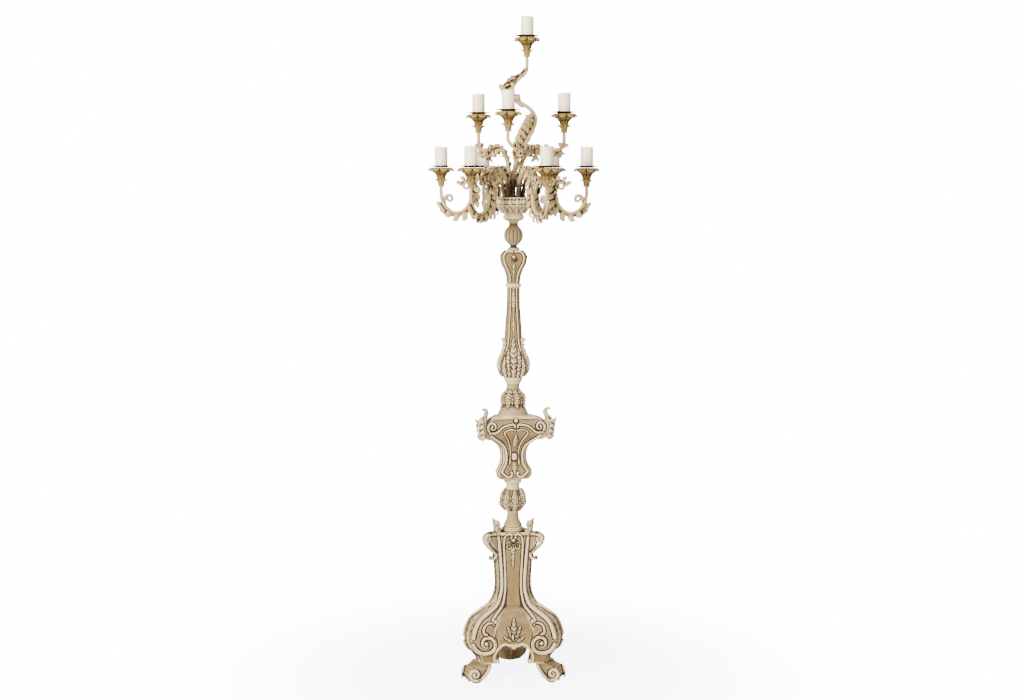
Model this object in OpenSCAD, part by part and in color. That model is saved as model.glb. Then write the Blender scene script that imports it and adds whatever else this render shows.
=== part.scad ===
// Carved floor candelabrum: a three-sided base on scroll feet, a turned and carved stem,
// and ten acanthus arms in three tiers, each with a flower cup, a drip pan and a candle.
// Millimetres, +Z up, origin on the floor under the middle of the stem.

/* [Base] */
// Height of the scroll feet
foot_h = 58; // [48:1:70]
// Height of the belly of the base, above the floor
belly_h = 141; // [130:1:150]
// Height of the waist of the base, above the floor
waist_h = 285; // [275:1:300]
// Height of the carved base, feet included
base_h = 470; // [450:1:500]
// Distance of a base face from the axis at the belly
belly_face = 105; // [98:0.5:112]
// Distance of a base face from the axis at the waist
waist_face = 41; // [38:0.5:46]
// Distance of a foot's face from the axis at its widest
foot_face = 107; // [100:0.5:114]
// Width of the cut-off corner at the belly and the feet
belly_corner = 50; // [44:1:56]
// Width of the cut-off corner at the waist
waist_corner = 30; // [27:1:34]
// Width of the corner stile between two base panels
stile_w = 24; // [18:1:26]
// Distance of the hidden core's faces from the axis
core_face = 24; // [20:1:28]
// Turn of the base about its axis
base_turn = 3; // [0:1:20]

/* [Stem] */
// Height of the collar and neck above the base
collar_h = 63; // [56:1:72]
// Radius of the white collar ring
collar_r = 28; // [25:0.5:32]
// Height of the leaf knop
leaf_knop_h = 72; // [64:1:80]
// Radius of the leaf knop's body
leaf_knop_r = 38; // [34:0.5:42]
// Height of the ring under the pedestal
ped_ring_h = 35; // [30:1:40]
// Height of the three-sided pedestal
ped_h = 200; // [185:1:215]
// Distance of a pedestal face from the axis at its shoulders
ped_face = 69; // [64:0.5:74]
// Distance of a pedestal face from the axis at its waist
ped_waist = 29.5; // [27:0.5:32]
// Turn of the pedestal about its axis
ped_turn = 9; // [0:1:20]
// Height of the dome cap with its neck
dome_h = 104; // [96:1:115]
// Radius of the dome where it meets the pedestal
dome_r = 50; // [46:1:54]
// Height of the ring that carries the column
column_ring_h = 18; // [14:1:22]
// Height of the lower column
lower_column_h = 282; // [265:1:300]
// Height of the white ring round the column
column_collar_h = 12; // [9:1:16]
// Height of the upper column
upper_column_h = 103; // [95:1:115]
// Distance of a column face from the axis under the white ring
shaft_face = 15; // [14:0.5:17]
// Distance of a column face from the axis in its lower bulb
bulb_face = 37; // [34:0.5:40]
// Radius of the stem's plain necks
neck_r = 20; // [18:0.5:23]
// Height of the gadrooned knop with its necks
gadroon_h = 92; // [84:1:100]
// Radius of the gadrooned knop
gadroon_r = 28; // [26:0.5:31]
// Height of the white ring under the bowl
bowl_ring_h = 22; // [18:1:26]
// Height of the bowl
bowl_h = 51; // [46:1:58]
// Radius of the bowl's rim
bowl_r = 54; // [52:0.5:60]
// Radius of the tie rod
rod_r = 5; // [4:0.5:6]

/* [Arms and cups] */
// Distance of the lower candles from the axis
lower_reach = 226; // [215:1:240]
// Height of the lower cups' feet above the bowl's rim
lower_rise = 31; // [24:1:40]
// Distance of the middle candles from the axis
middle_reach = 160; // [150:1:175]
// Height of the middle cups' feet above the bowl's rim
middle_rise = 198; // [185:1:215]
// Height of the top cup's foot above the bowl's rim
top_rise = 428; // [410:1:445]
// Sideways place of the top candle
top_offset = 40; // [34:1:46]
// Radius of an arm where it leaves the bowl
arm_root_r = 7; // [6:0.5:8]
// Radius of an arm under its cup
arm_tip_r = 5.5; // [4.5:0.5:6.5]
// Height of a flower cup
cup_h = 60; // [54:1:66]
// Radius of a flower cup's rim
cup_r = 42; // [38:0.5:46]
// Radius of a drip pan
pan_r = 38; // [34:0.5:40]
// Radius of a candle
candle_r = 20; // [17:0.5:22]
// Height of a candle
candle_h = 61; // [50:1:90]
// Radius of the spike that holds a candle
spike_r = 2.5; // [2:0.25:3]
// Height of the spike above the pan
spike_h = 28; // [22:1:34]

/* [Carving] */
// How far the frame mouldings stand off a face
moulding_lift = 4; // [2:0.5:6]
// Width of the outer frame moulding
moulding_w = 8; // [6:0.5:10]
// Width of the inner frame moulding
inner_moulding_w = 6; // [4:0.5:7]
// How far leaves and shells stand off a face
leaf_lift = 5; // [3:0.5:7]

/* [Hidden] */
$fn = 48;
root3 = sqrt(3);
reach = 400;              // beyond anything that a cutting slab has to pass
rod_clearance = 0.4;      // round the tie rod in the stem sections
tenon_clearance = 0.3;    // round the arm and cup tenons
spike_clearance = 0.5;    // round the spike in the candle
block_clearance = 0.05;   // round the arm block in the bowl
bite = 3;                 // how deep a raised ornament is rooted in its face
lower_turns = [for (k = [0:5]) -4.5 + 60 * k];
middle_turns = [12, 134, 264];
middle_sways = [0, 0, 42]; // how far round an arm wanders on its way to the cup
tenon_h = 14;
tenon_r = 3.5;
cup_tenon_h = 16;
pan_floor = 3.5;          // from the cup's rim up to the pan's floor
pan_t = 1.2;
wick_r = 0.9;
wick_h = 5;
washer_t = 2.5;
washer_r = 14;
nut_t = 8;
nut_r = 9.5;

// Levels of the stem, from the floor up
core_z = belly_h - 27;
collar_z = base_h;
leaf_knop_z = collar_z + collar_h;
ped_ring_z = leaf_knop_z + leaf_knop_h;
ped_z = ped_ring_z + ped_ring_h;
dome_z = ped_z + ped_h;
column_ring_z = dome_z + dome_h;
lower_column_z = column_ring_z + column_ring_h;
column_collar_z = lower_column_z + lower_column_h;
upper_column_z = column_collar_z + column_collar_h;
gadroon_z = upper_column_z + upper_column_h;
bowl_ring_z = gadroon_z + gadroon_h;
bowl_z = bowl_ring_z + bowl_ring_h;
rim_z = bowl_z + bowl_h;
block_top = rim_z - 5;
block_r = bowl_r - 11;
block_bottom_r = 30;
block_z = bowl_z + 16;
rod_top = block_z + 13;
lower_cup_z = rim_z + lower_rise;
middle_cup_z = rim_z + middle_rise;
top_cup_z = rim_z + top_rise;
lower_root = block_r - 13;
middle_root = 16;

// ---- Curves ----

function mix(a, b, t) = a + (b - a) * t;
function last(list) = list[len(list) - 1];
function span(a, b, c, d, t) = 0.5 * (2 * b + (c - a) * t + (2 * a - 5 * b + 4 * c - d) * t * t
    + (3 * b - a - 3 * c + d) * t * t * t);
// Smooth curve through the points of p, with n steps between neighbours
function curve(p, n = 3) = concat([for (i = [0:len(p) - 2], k = [0:n - 1])
    span(p[max(i - 1, 0)], p[i], p[i + 1], p[min(i + 2, len(p) - 1)], k / n)], [last(p)]);
// Spiral about c from angle a0 to a1, drawing in from radius r0 to r1
function spiral(c, r0, r1, a0, a1, n = 24) = [for (i = [0:n]) let (t = i / n,
    r = mix(r0, r1, pow(t, 0.72)), a = mix(a0, a1, t)) c + r * [cos(a), sin(a)]];
function heading(p, i) = let (d = p[min(i + 1, len(p) - 1)] - p[max(i - 1, 0)]) d / norm(d);
function beside(p, i, w) = let (t = heading(p, i)) p[i] + w * [-t[1], t[0]];
// Outline of a band that follows the path p and goes from width w0 to w1
function band(p, w0, w1) = let (n = len(p) - 1) concat(
    [for (i = [0:n]) beside(p, i, mix(w0, w1, i / n) / 2)],
    [for (i = [n:-1:0]) beside(p, i, -mix(w0, w1, i / n) / 2)]);
// Outline of a pointed leaf on the stalk from a to b, with notched edges
function leaf_outline(a, b, w, lobes = 3, n = 12) = let (d = b - a, side = [-d[1], d[0]] / norm(d)) concat(
    [for (i = [0:n]) a + d * i / n + side * leaf_edge(i / n, w, lobes)],
    [for (i = [n - 1:-1:1]) a + d * i / n - side * leaf_edge(i / n, w, lobes)]);
function leaf_edge(t, w, lobes) = w * pow(sin(180 * pow(t, 0.75)), 0.8)
    * (1 - 0.28 * (1 - abs(sin(180 * t * lobes))));

// ---- Profiles of the three-sided bodies: [height, distance of a face from the axis] ----

neck_face = 83 + (foot_face - 107);
base_face = curve([[foot_h, neck_face], [mix(foot_h, belly_h, 0.3), mix(neck_face, belly_face, 0.2)],
    [mix(foot_h, belly_h, 0.65), mix(neck_face, belly_face, 0.8)], [belly_h, belly_face],
    [mix(belly_h, waist_h, 0.22), mix(waist_face, belly_face, 0.95)],
    [mix(belly_h, waist_h, 0.42), mix(waist_face, belly_face, 0.8)],
    [mix(belly_h, waist_h, 0.57), mix(waist_face, belly_face, 0.47)],
    [mix(belly_h, waist_h, 0.7), mix(waist_face, belly_face, 0.19)],
    [waist_h, waist_face], [mix(waist_h, base_h, 0.5), waist_face + 1.5], [base_h, waist_face + 6]], 2);
foot_profile = curve([[0, foot_face - 6], [foot_h * 0.25, foot_face - 2], [foot_h * 0.5, foot_face],
    [foot_h * 0.82, foot_face - 5], [foot_h * 0.94, mix(neck_face, foot_face, 0.3)], [foot_h, neck_face]], 2);
function corner_w(z) = lookup(z, [[belly_h, belly_corner], [mix(belly_h, waist_h, 0.4), belly_corner],
    [waist_h - 20, waist_corner]]);
// Distance of the cut-off corner for a face profile and a corner width
function corner_of(face, w) = 2 * face - w * root3 / 2;
base_corner = [for (p = base_face) [p[0], corner_of(p[1], corner_w(p[0]))]];
foot_corner = [for (p = foot_profile) [p[0], corner_of(p[1], belly_corner)]];
// Half the width of a base face at the height z
function base_edge(z) = root3 * lookup(z, base_face) - corner_w(z);

ped_corner_w = 28;
ped_waist_corner = 22;
ped_profile = curve([[ped_z, ped_waist + 5], [ped_z + 0.06 * ped_h, ped_waist + 9.5],
    [ped_z + 0.13 * ped_h, ped_waist + 9], [ped_z + 0.24 * ped_h, ped_waist + 2], [ped_z + 0.36 * ped_h, ped_waist],
    [ped_z + 0.5 * ped_h, ped_waist + 3], [ped_z + 0.6 * ped_h, mix(ped_waist, ped_face, 0.33)],
    [ped_z + 0.7 * ped_h, mix(ped_waist, ped_face, 0.74)], [ped_z + 0.78 * ped_h, mix(ped_waist, ped_face, 0.95)],
    [ped_z + 0.86 * ped_h, ped_face], [ped_z + 0.93 * ped_h, ped_face - 4],
    [ped_z + ped_h, ped_face - 19]], 1);
function ped_corner_at(z) = lookup(z, [[ped_z + 0.5 * ped_h, ped_waist_corner],
    [ped_z + 0.8 * ped_h, ped_corner_w]]);
ped_corner = [for (p = ped_profile) [p[0], corner_of(p[1], ped_corner_at(p[0]))]];
function ped_edge(z) = root3 * lookup(z, ped_profile) - ped_corner_at(z);

lower_column_profile = curve([[0, bulb_face - 12], [0.05, bulb_face - 3], [0.12, bulb_face], [0.19, bulb_face - 1],
    [0.26, bulb_face - 7], [0.34, bulb_face - 13], [0.45, shaft_face + 5.5], [0.6, shaft_face + 3.5],
    [0.8, shaft_face + 0.8], [1, shaft_face]], 1);
lower_column_face = [for (p = lower_column_profile) [lower_column_z + p[0] * lower_column_h, p[1]]];
function lower_corner_w(z) = lookup(z, [[lower_column_z + 0.1 * lower_column_h, 24],
    [lower_column_z + 0.5 * lower_column_h, 17], [lower_column_z + lower_column_h, 14]]);
lower_column_corner = [for (p = lower_column_face) [p[0], corner_of(p[1], lower_corner_w(p[0]))]];
upper_column_profile = curve([[0, shaft_face], [0.25, shaft_face + 2], [0.45, shaft_face + 6],
    [0.62, shaft_face + 11], [0.8, shaft_face + 12.5], [0.93, shaft_face + 9], [1, shaft_face + 3.5]], 2);
upper_column_face = [for (p = upper_column_profile) [upper_column_z + p[0] * upper_column_h, p[1]]];
upper_corner_w = 14;
upper_column_corner = [for (p = upper_column_face) [p[0], corner_of(p[1], upper_corner_w)]];

// ---- Solids from profiles ----

// Everything nearer the axis than a face that follows the profile, in front (towards -Y)
module face_slab(profile, lift = 0) {
    rotate([90, 0, 90]) linear_extrude(2 * reach, center = true)
        polygon(concat([for (p = profile) [-(p[1] + lift), p[0]]],
            [[reach, last(profile)[0]], [reach, profile[0][0]]]));
}

// The skin of that face, from `bite` inside it to `lift` outside it
module face_skin(profile, lift) {
    n = len(profile) - 1;
    rotate([90, 0, 90]) linear_extrude(2 * reach, center = true)
        polygon(concat([for (p = profile) [-(p[1] + lift), p[0]]],
            [for (i = [n:-1:0]) [-(profile[i][1] - bite), profile[i][0]]]));
}

// Flat outline in the plane of the front face, carried forward from the axis
module forward(depth = reach) {
    rotate([90, 0, 0]) linear_extrude(depth) children();
}

// Raised ornament: an outline on the front face, in [sideways, height]
module raised(profile, lift) {
    intersection() {
        face_skin(profile, lift);
        forward() children();
    }
}

module thrice() {
    for (turn = [0, 120, 240]) rotate(turn) children();
}

// Three-sided body with cut-off corners
module three_sided(face, corner) {
    intersection() {
        intersection_for (turn = [0, 120, 240]) rotate(turn) face_slab(face);
        intersection_for (turn = [60, 180, 300]) rotate(turn) face_slab(corner);
    }
}

// Body turned about the stem from [radius, height] points
module turned(points, z = 0) {
    translate([0, 0, z]) rotate_extrude() polygon(concat([[0, points[0][1]]], points, [[0, last(points)[1]]]));
}

// Hole for the tie rod
module rod_hole() {
    translate([0, 0, core_z - 40]) cylinder(r = rod_r + rod_clearance, h = rod_top);
}

// Outline in a plane through the axis, [out, up], given a thickness, standing towards -Y
module radial(t) {
    rotate([90, 0, -90]) linear_extrude(t, center = true) children();
}

// ---- Feet ----

// Front outline of the right foot: the inner C curve, then out past the corner
foot_inner = curve([[neck_face - 14, foot_h], [neck_face - 12, 0.86 * foot_h], [neck_face - 5, 0.66 * foot_h],
    [neck_face + 4, 0.45 * foot_h], [neck_face + 14, 0.24 * foot_h], [neck_face + 23, 0.08 * foot_h],
    [neck_face + 29, 0]], 2);
foot_eye = [foot_face + 15, 0.52 * foot_h];
foot_scroll = concat(curve([[neck_face - 8, foot_h], [neck_face - 5, 0.82 * foot_h],
    [neck_face + 4, 0.57 * foot_h], [neck_face + 15, 0.33 * foot_h]], 3),
    spiral(foot_eye, 21, 4, -110, 310, 14));

module foot_outline() {
    polygon(concat(foot_inner, [[reach, 0], [reach, foot_h]]));
}

module foot(turn) {
    color("BurlyWood") rotate(base_turn + turn) {
        intersection() {
            three_sided(foot_profile, foot_corner);
            forward() foot_outline();
            rotate(120) mirror([1, 0, 0]) forward() foot_outline();
        }
        foot_carving();
        rotate(120) mirror([1, 0, 0]) foot_carving();
    }
}

// The raised C scroll on one face of the right foot, kept within the face
module foot_carving() {
    intersection() {
        raised(foot_profile, moulding_lift - 1) {
            polygon(band(foot_scroll, moulding_w, 4));
            translate(foot_eye) circle(4.5);
        }
        rotate(60) face_slab(foot_corner);
    }
}

module foot_right() foot(0);
module foot_rear() foot(120);
module foot_left() foot(240);

// ---- Base ----

volute_eye = [belly_face - 18, belly_h - 12];
frame_start = mix(belly_h, waist_h, 0.05);
// Outer frame: down beside the face's edge, round the belly and into the big volute
outer_frame = concat(
    [for (k = [12:-1:0]) let (z = mix(frame_start, base_h - 8, k / 12)) [base_edge(z) - moulding_w * 0.45, z]],
    spiral(volute_eye, 46, 5, -5, -490, 22));
// Inner frame: a line down the shaft that ends in a curl above the belly
inner_top = base_h - 42;
inner_frame = concat(
    curve([[7, inner_top + 27], [4.5, inner_top + 34], [10, inner_top + 39.5], [20, inner_top + 37],
        [28, inner_top + 25], [0.63 * base_edge(inner_top), inner_top]], 2),
    [for (k = [1:8]) let (z = mix(inner_top, belly_h + 58, k / 8)) [mix(0.63, 0.6, k / 8) * base_edge(z), z]]);
small_scroll = curve([[belly_face - 38, belly_h + 50], [belly_face - 27, belly_h + 52],
    [belly_face - 16, belly_h + 46], [belly_face - 10, belly_h + 34], [belly_face - 11, belly_h + 22],
    [belly_face - 18, belly_h + 17]], 2);
// Edge of the apron between the feet, from the middle outwards
apron_edge = curve([[0, belly_h - 31], [9, belly_h - 24], [24, belly_h - 18], [38, belly_h - 23],
    [50, belly_h - 38], [56, belly_h - 54], [55, foot_h + 7], [50, foot_h + 2]], 2);
apron_band = curve([[4, belly_h - 22], [12, belly_h - 18], [25, belly_h - 13.5], [40, belly_h - 19],
    [53, belly_h - 36], [60, belly_h - 54], [59, foot_h + 8], [53, foot_h + 5]], 2);

module base_carving_half() {
    polygon(band(outer_frame, moulding_w, moulding_w * 0.7));
    translate(volute_eye) circle(7);
    polygon(band(inner_frame, inner_moulding_w, inner_moulding_w));
    translate([belly_face * 0.615, belly_h + 59]) circle(4.5);
    translate([8, inner_top + 27]) circle(4.5);
    polygon(band(small_scroll, 4, 7));
    polygon(band(apron_band, 6, 6));
}

module base_carving() {
    base_carving_half();
    mirror([1, 0, 0]) base_carving_half();
}

// Shell with its hanging husk, and the sprout over the apron
module base_leaves() {
    shell_z = base_h - 30;
    for (a = [-64, -32, 0, 32, 64]) polygon(leaf_outline([0, shell_z + 6], [0, shell_z + 6]
        + 19 * [sin(a), -cos(a)], 4.2, 1, 5));
    translate([0, shell_z + 7]) circle(8);
    for (k = [0:2]) polygon(leaf_outline([0, shell_z - 14 - 21 * k], [0, shell_z - 38 - 21 * k],
        7 - 1.6 * k, 1, 5));
    polygon(leaf_outline([0, belly_h - 4], [0, belly_h + 65], 13, 3, 12));
    for (s = [-1, 1]) polygon(leaf_outline([6 * s, belly_h - 2], [24 * s, belly_h + 42], 8, 2, 8));
}

// Plan of one panel: a third of the base, less half a stile at each corner
panel_plan = let (n = stile_w / 2 * [-0.5, -root3 / 2], d = [root3 / 2, -0.5],
    near = 2 * (core_face - stile_w * root3 / 4) * d + n, far = reach * d + n)
    [near, far, [-far[0], far[1]], [-near[0], near[1]]];

module base_panel(turn) {
    color("Tan") rotate(base_turn + turn) {
        difference() {
            intersection() {
                three_sided(base_face, base_corner);
                linear_extrude(base_h) polygon(panel_plan);
            }
            forward() polygon(concat(apron_edge, [[50, 0], [-50, 0]],
                [for (i = [len(apron_edge) - 1:-1:1]) [-apron_edge[i][0], apron_edge[i][1]]]));
        }
        intersection() {
            union() {
                raised(base_face, moulding_lift) base_carving();
                raised(base_face, leaf_lift) base_leaves();
            }
            linear_extrude(base_h) polygon(panel_plan);
        }
    }
}

module base_panel_front() base_panel(0);
module base_panel_right() base_panel(120);
module base_panel_left() base_panel(240);

core_corner = corner_of(core_face, stile_w);

module base_stile(turn) {
    color("Wheat") rotate(base_turn + turn) intersection() {
        face_slab(base_corner);
        translate([-stile_w / 2, -reach, foot_h]) cube([stile_w, reach - core_corner, base_h - foot_h]);
    }
}

module base_stile_right() base_stile(60);
module base_stile_rear() base_stile(180);
module base_stile_left() base_stile(300);

module base_core() {
    color("Peru") difference() {
        rotate(base_turn) intersection() {
            intersection_for (turn = [0, 120, 240]) rotate(turn)
                translate([-reach / 2, -core_face, core_z]) cube([reach, reach, base_h - core_z]);
            intersection_for (turn = [60, 180, 300]) rotate(turn)
                translate([-reach / 2, -core_corner, core_z]) cube([reach, reach, base_h - core_z]);
        }
        rod_hole();
    }
}

// Corner bracket in its own plane: [out from the axis, up]
bracket_foot = lookup(base_h - 85, base_corner) + 1;
bracket_head = lookup(base_h - 12, base_corner);
bracket_scroll = concat(curve([[bracket_head - 1, base_h - 6], [bracket_head + 14, base_h - 3],
    [bracket_head + 30, base_h - 5]], 3), spiral([bracket_head + 30, base_h - 18], 13, 3, 85, -250, 16));
bracket_tail = curve([[bracket_head + 37, base_h - 27], [bracket_head + 25, base_h - 42],
    [bracket_head + 13, base_h - 55], [bracket_foot + 6, base_h - 70], [bracket_foot + 12, base_h - 82],
    [bracket_foot + 21, base_h - 84]], 3);
bracket_horn = curve([[bracket_head - 12, base_h + 2], [bracket_head - 4, base_h + 12],
    [bracket_head + 2, base_h + 26], [bracket_head + 2, base_h + 36], [bracket_head + 7, base_h + 46]], 3);

module base_bracket(turn) {
    color("Wheat") rotate(base_turn + turn) difference() {
        union() {
            radial(20) {
                polygon(concat([[bracket_foot - 6, base_h - 84]], [for (q = bracket_tail) if (q[1] > base_h - 72) q],
                    [[bracket_head + 30, base_h - 10], [bracket_head - 6, base_h - 2]]));
                polygon(band(bracket_scroll, 8, 6));
                translate([bracket_head + 30, base_h - 18]) circle(6);
                polygon(band(bracket_tail, 8, 5));
                translate([bracket_foot + 20, base_h - 80]) circle(5);
            }
            radial(13) polygon(band(bracket_horn, 11, 5));
            radial(13) polygon([[bracket_head - 16, base_h + 0.4], [bracket_head + 10, base_h + 0.4],
                [bracket_head + 10, base_h - 10], [bracket_head - 16, base_h - 10]]);
        }
        // seated on the stile and the panels
        rotate(60) three_sided(base_face, base_corner);
        translate([0, 0, base_h - 1]) cylinder(r = collar_r + 4 + tenon_clearance, h = collar_h);
    }
}

module base_bracket_right() base_bracket(60);
module base_bracket_rear() base_bracket(180);
module base_bracket_left() base_bracket(300);

// ---- Turned stem ----

module base_collar() {
    h = collar_h;
    color("Ivory") difference() {
        turned(concat([[collar_r + 1, 0]], curve([[collar_r + 4, 2], [collar_r + 4, 5], [collar_r + 0.5, 7.5]], 3),
            curve([[collar_r + 3.5, 8.5], [collar_r + 3.5, 11], [collar_r - 1, 13.5]], 3),
            curve([[collar_r, 15], [collar_r + 0.5, 19], [collar_r - 1, 23], [collar_r - 5, 0.48 * h],
                [neck_r, 0.62 * h], [neck_r - 2, 0.85 * h], [neck_r - 1, h]], 3)), collar_z);
        rod_hole();
    }
}

leaf_knop_points = curve([[neck_r - 1, 0], [neck_r + 7, 0.12 * leaf_knop_h], [leaf_knop_r, 0.32 * leaf_knop_h],
    [leaf_knop_r, 0.5 * leaf_knop_h], [leaf_knop_r - 4, 0.78 * leaf_knop_h], [neck_r + 6, 0.95 * leaf_knop_h],
    [neck_r + 2, leaf_knop_h]], 2);

// Raised ornament on a turned body: outlines on [sideways, height], repeated all round
module raised_round(points, z, lift, count, start = 0) {
    for (k = [0:count - 1]) rotate(start + 360 * k / count) intersection() {
        translate([0, 0, z]) rotate_extrude() polygon(concat([for (p = points) [p[0] - bite, p[1]]],
            [for (i = [len(points) - 1:-1:0]) [points[i][0] + lift, points[i][1]]]));
        forward() children();
    }
}

module leaf_knop() {
    h = leaf_knop_h;
    color("Tan") difference() {
        union() {
            turned(leaf_knop_points, leaf_knop_z);
            raised_round([for (p = leaf_knop_points) if (p[1] > 0.1 * h && p[1] < 0.94 * h) p], leaf_knop_z,
                leaf_lift, 6, 30)
                polygon(leaf_outline([0, leaf_knop_z + 0.08 * h], [0, leaf_knop_z + 0.93 * h], 15, 3, 12));
        }
        rod_hole();
    }
}

module pedestal_ring() {
    h = ped_ring_h;
    color("Ivory") difference() {
        turned(concat([[neck_r + 2, 0], [neck_r + 1, 0.2 * h]], curve([[neck_r + 1, 0.35 * h],
            [neck_r + 3, 0.5 * h]], 2), curve([[neck_r + 7, 0.58 * h], [neck_r + 8.5, 0.72 * h],
            [neck_r + 8, 0.88 * h], [neck_r + 5, h]], 3)), ped_ring_z);
        rod_hole();
    }
}

// ---- Pedestal ----

ped_top_z = ped_z + ped_h;
ped_eye = [ped_edge(ped_z + 0.9 * ped_h) - 15, ped_z + 0.935 * ped_h];
// Frame of a pedestal face: volute, round the shoulder, down past the waist to the bottom curl
ped_frame = concat(
    spiral(ped_eye, 3, 17, 300, -60, 12),
    [for (k = [2:10]) let (z = mix(ped_z + 0.9 * ped_h, ped_z + 0.1 * ped_h, k / 10))
        [ped_edge(z) - moulding_w * 0.5, z]],
    curve([[ped_edge(ped_z + 0.1 * ped_h) - 7, ped_z + 0.075 * ped_h], [24, ped_z + 0.05 * ped_h],
        [12, ped_z + 0.065 * ped_h], [9, ped_z + 0.1 * ped_h]], 2));
// The wave over the top, from the volute to the middle
ped_crest = curve([[ped_eye[0] + 9, ped_eye[1] - 18], [ped_eye[0] - 4, ped_eye[1] - 20],
    [ped_eye[0] - 20, ped_eye[1] - 13], [ped_eye[0] - 36, ped_eye[1]], [9, ped_eye[1] + 7],
    [5, ped_eye[1] - 2]], 2);
ped_inner = curve([[5, ped_z + 0.83 * ped_h], [20, ped_z + 0.83 * ped_h], [38, ped_z + 0.78 * ped_h],
    [27, ped_z + 0.68 * ped_h], [17, ped_z + 0.55 * ped_h], [13, ped_z + 0.44 * ped_h],
    [12, ped_z + 0.34 * ped_h], [14, ped_z + 0.2 * ped_h]], 2);

module pedestal_carving_half() {
    polygon(band(ped_frame, moulding_w * 0.85, moulding_w * 0.85));
    translate(ped_eye) circle(5);
    polygon(band(ped_crest, moulding_w * 0.75, moulding_w * 0.75));
    polygon(band(ped_inner, 4, 4));
}

module pedestal() {
    color("Tan") difference() {
        rotate(ped_turn) {
            three_sided(ped_profile, ped_corner);
            thrice() {
                raised(ped_profile, moulding_lift) {
                    pedestal_carving_half();
                    mirror([1, 0, 0]) pedestal_carving_half();
                }
                raised(ped_profile, leaf_lift + 1) {
                    translate([0, ped_z + 0.41 * ped_h]) circle(11);
                    translate([0, ped_z + 0.965 * ped_h]) circle(6);
                    polygon(leaf_outline([0, ped_z + 0.3 * ped_h], [0, ped_z + 0.12 * ped_h], 9, 1, 10));
                }
            }
        }
        rod_hole();
    }
}

ear_root = lookup(ped_z + 0.8 * ped_h, ped_corner);
ear_w = 30;
ear_root_w = mix(ped_waist_corner, ped_corner_w, 0.35);
ear_outline = curve([[ear_root - 22, ped_z + 0.64 * ped_h], [ear_root - 4, ped_z + 0.66 * ped_h],
    [ear_root + 14, ped_z + 0.73 * ped_h], [ear_root + 22, ped_z + 0.83 * ped_h], [ear_root + 20, ped_z + 0.94 * ped_h],
    [ear_root + 8, ped_z + 1.02 * ped_h], [ear_root + 1, ped_z + 1.06 * ped_h], [ear_root - 1, ped_z + 1.1 * ped_h],
    [ear_root + 3, ped_z + 1.15 * ped_h], [ear_root - 4, ped_z + 1.15 * ped_h], [ear_root - 10, ped_z + 1.09 * ped_h],
    [ear_root - 7, ped_z + 1.03 * ped_h], [ear_root - 3, ped_z + 0.96 * ped_h], [ear_root - 3, ped_z + 0.87 * ped_h],
    [ear_root - 22, ped_z + 0.83 * ped_h]], 3);

module pedestal_ear(turn) {
    color("BurlyWood") rotate(ped_turn + turn) difference() {
        union() {
            // broad lobe, clear of the face mouldings
            intersection() {
                radial(ear_w) polygon(ear_outline);
                translate([-ear_w / 2, -ear_root - 8 - reach, ped_z]) cube([ear_w, reach, 1.02 * ped_h]);
            }
            intersection() {
                radial(ear_root_w) polygon(ear_outline);
                translate([0, 0, ped_z]) cylinder(r = reach, h = 0.82 * ped_h);
            }
            radial(12) polygon(ear_outline);
        }
        // flutes between the lobes of the acanthus
        for (s = [-1, 1], k = [0:2]) translate([s * 22, -(ear_root + 25), ped_z + (0.74 + 0.1 * k) * ped_h])
            rotate([0, 90, 0]) cylinder(r = 5.5, h = 30, center = true);
        rotate(60) three_sided(ped_profile, ped_corner);
    }
}

module pedestal_ear_right() pedestal_ear(60);
module pedestal_ear_rear() pedestal_ear(180);
module pedestal_ear_left() pedestal_ear(300);

// ---- Dome cap ----

dome_points = curve([[dome_r, 0], [dome_r - 4, 0.1 * dome_h], [dome_r - 11, 0.24 * dome_h],
    [dome_r - 14, 0.36 * dome_h], [dome_r - 12, 0.46 * dome_h], [dome_r - 15, 0.6 * dome_h],
    [neck_r + 4, 0.7 * dome_h], [neck_r, 0.8 * dome_h], [neck_r + 1, 0.94 * dome_h], [neck_r + 4, dome_h]], 2);

module dome_cap() {
    h = dome_h;
    color("Tan") difference() {
        union() {
            turned(dome_points, dome_z);
            raised_round([for (p = dome_points) if (p[1] > 0.25 * h && p[1] < 0.72 * h) p], dome_z, leaf_lift, 6, 0)
                polygon(leaf_outline([0, dome_z + 0.76 * h], [0, dome_z + 0.27 * h], 13, 2, 10));
        }
        rod_hole();
    }
}

module column_ring() {
    h = column_ring_h;
    color("Ivory") difference() {
        turned(concat([[neck_r + 4, 0], [neck_r + 6, 0.1 * h], [neck_r + 6, 0.3 * h], [neck_r + 4.5, 0.36 * h]],
            curve([[neck_r + 8, 0.42 * h], [neck_r + 10, 0.65 * h], [neck_r + 8.5, 0.9 * h],
                [neck_r + 6, h]], 3)), column_ring_z);
        rod_hole();
    }
}

// ---- Column ----

module column_rib(profile, corner_at, z0, z1) {
    rib = [for (k = [0:6]) let (z = mix(z0, z1, k / 6)) [root3 * lookup(z, profile) - corner_at(z), z]];
    polygon(band(rib, 4, 4));
}

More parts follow.
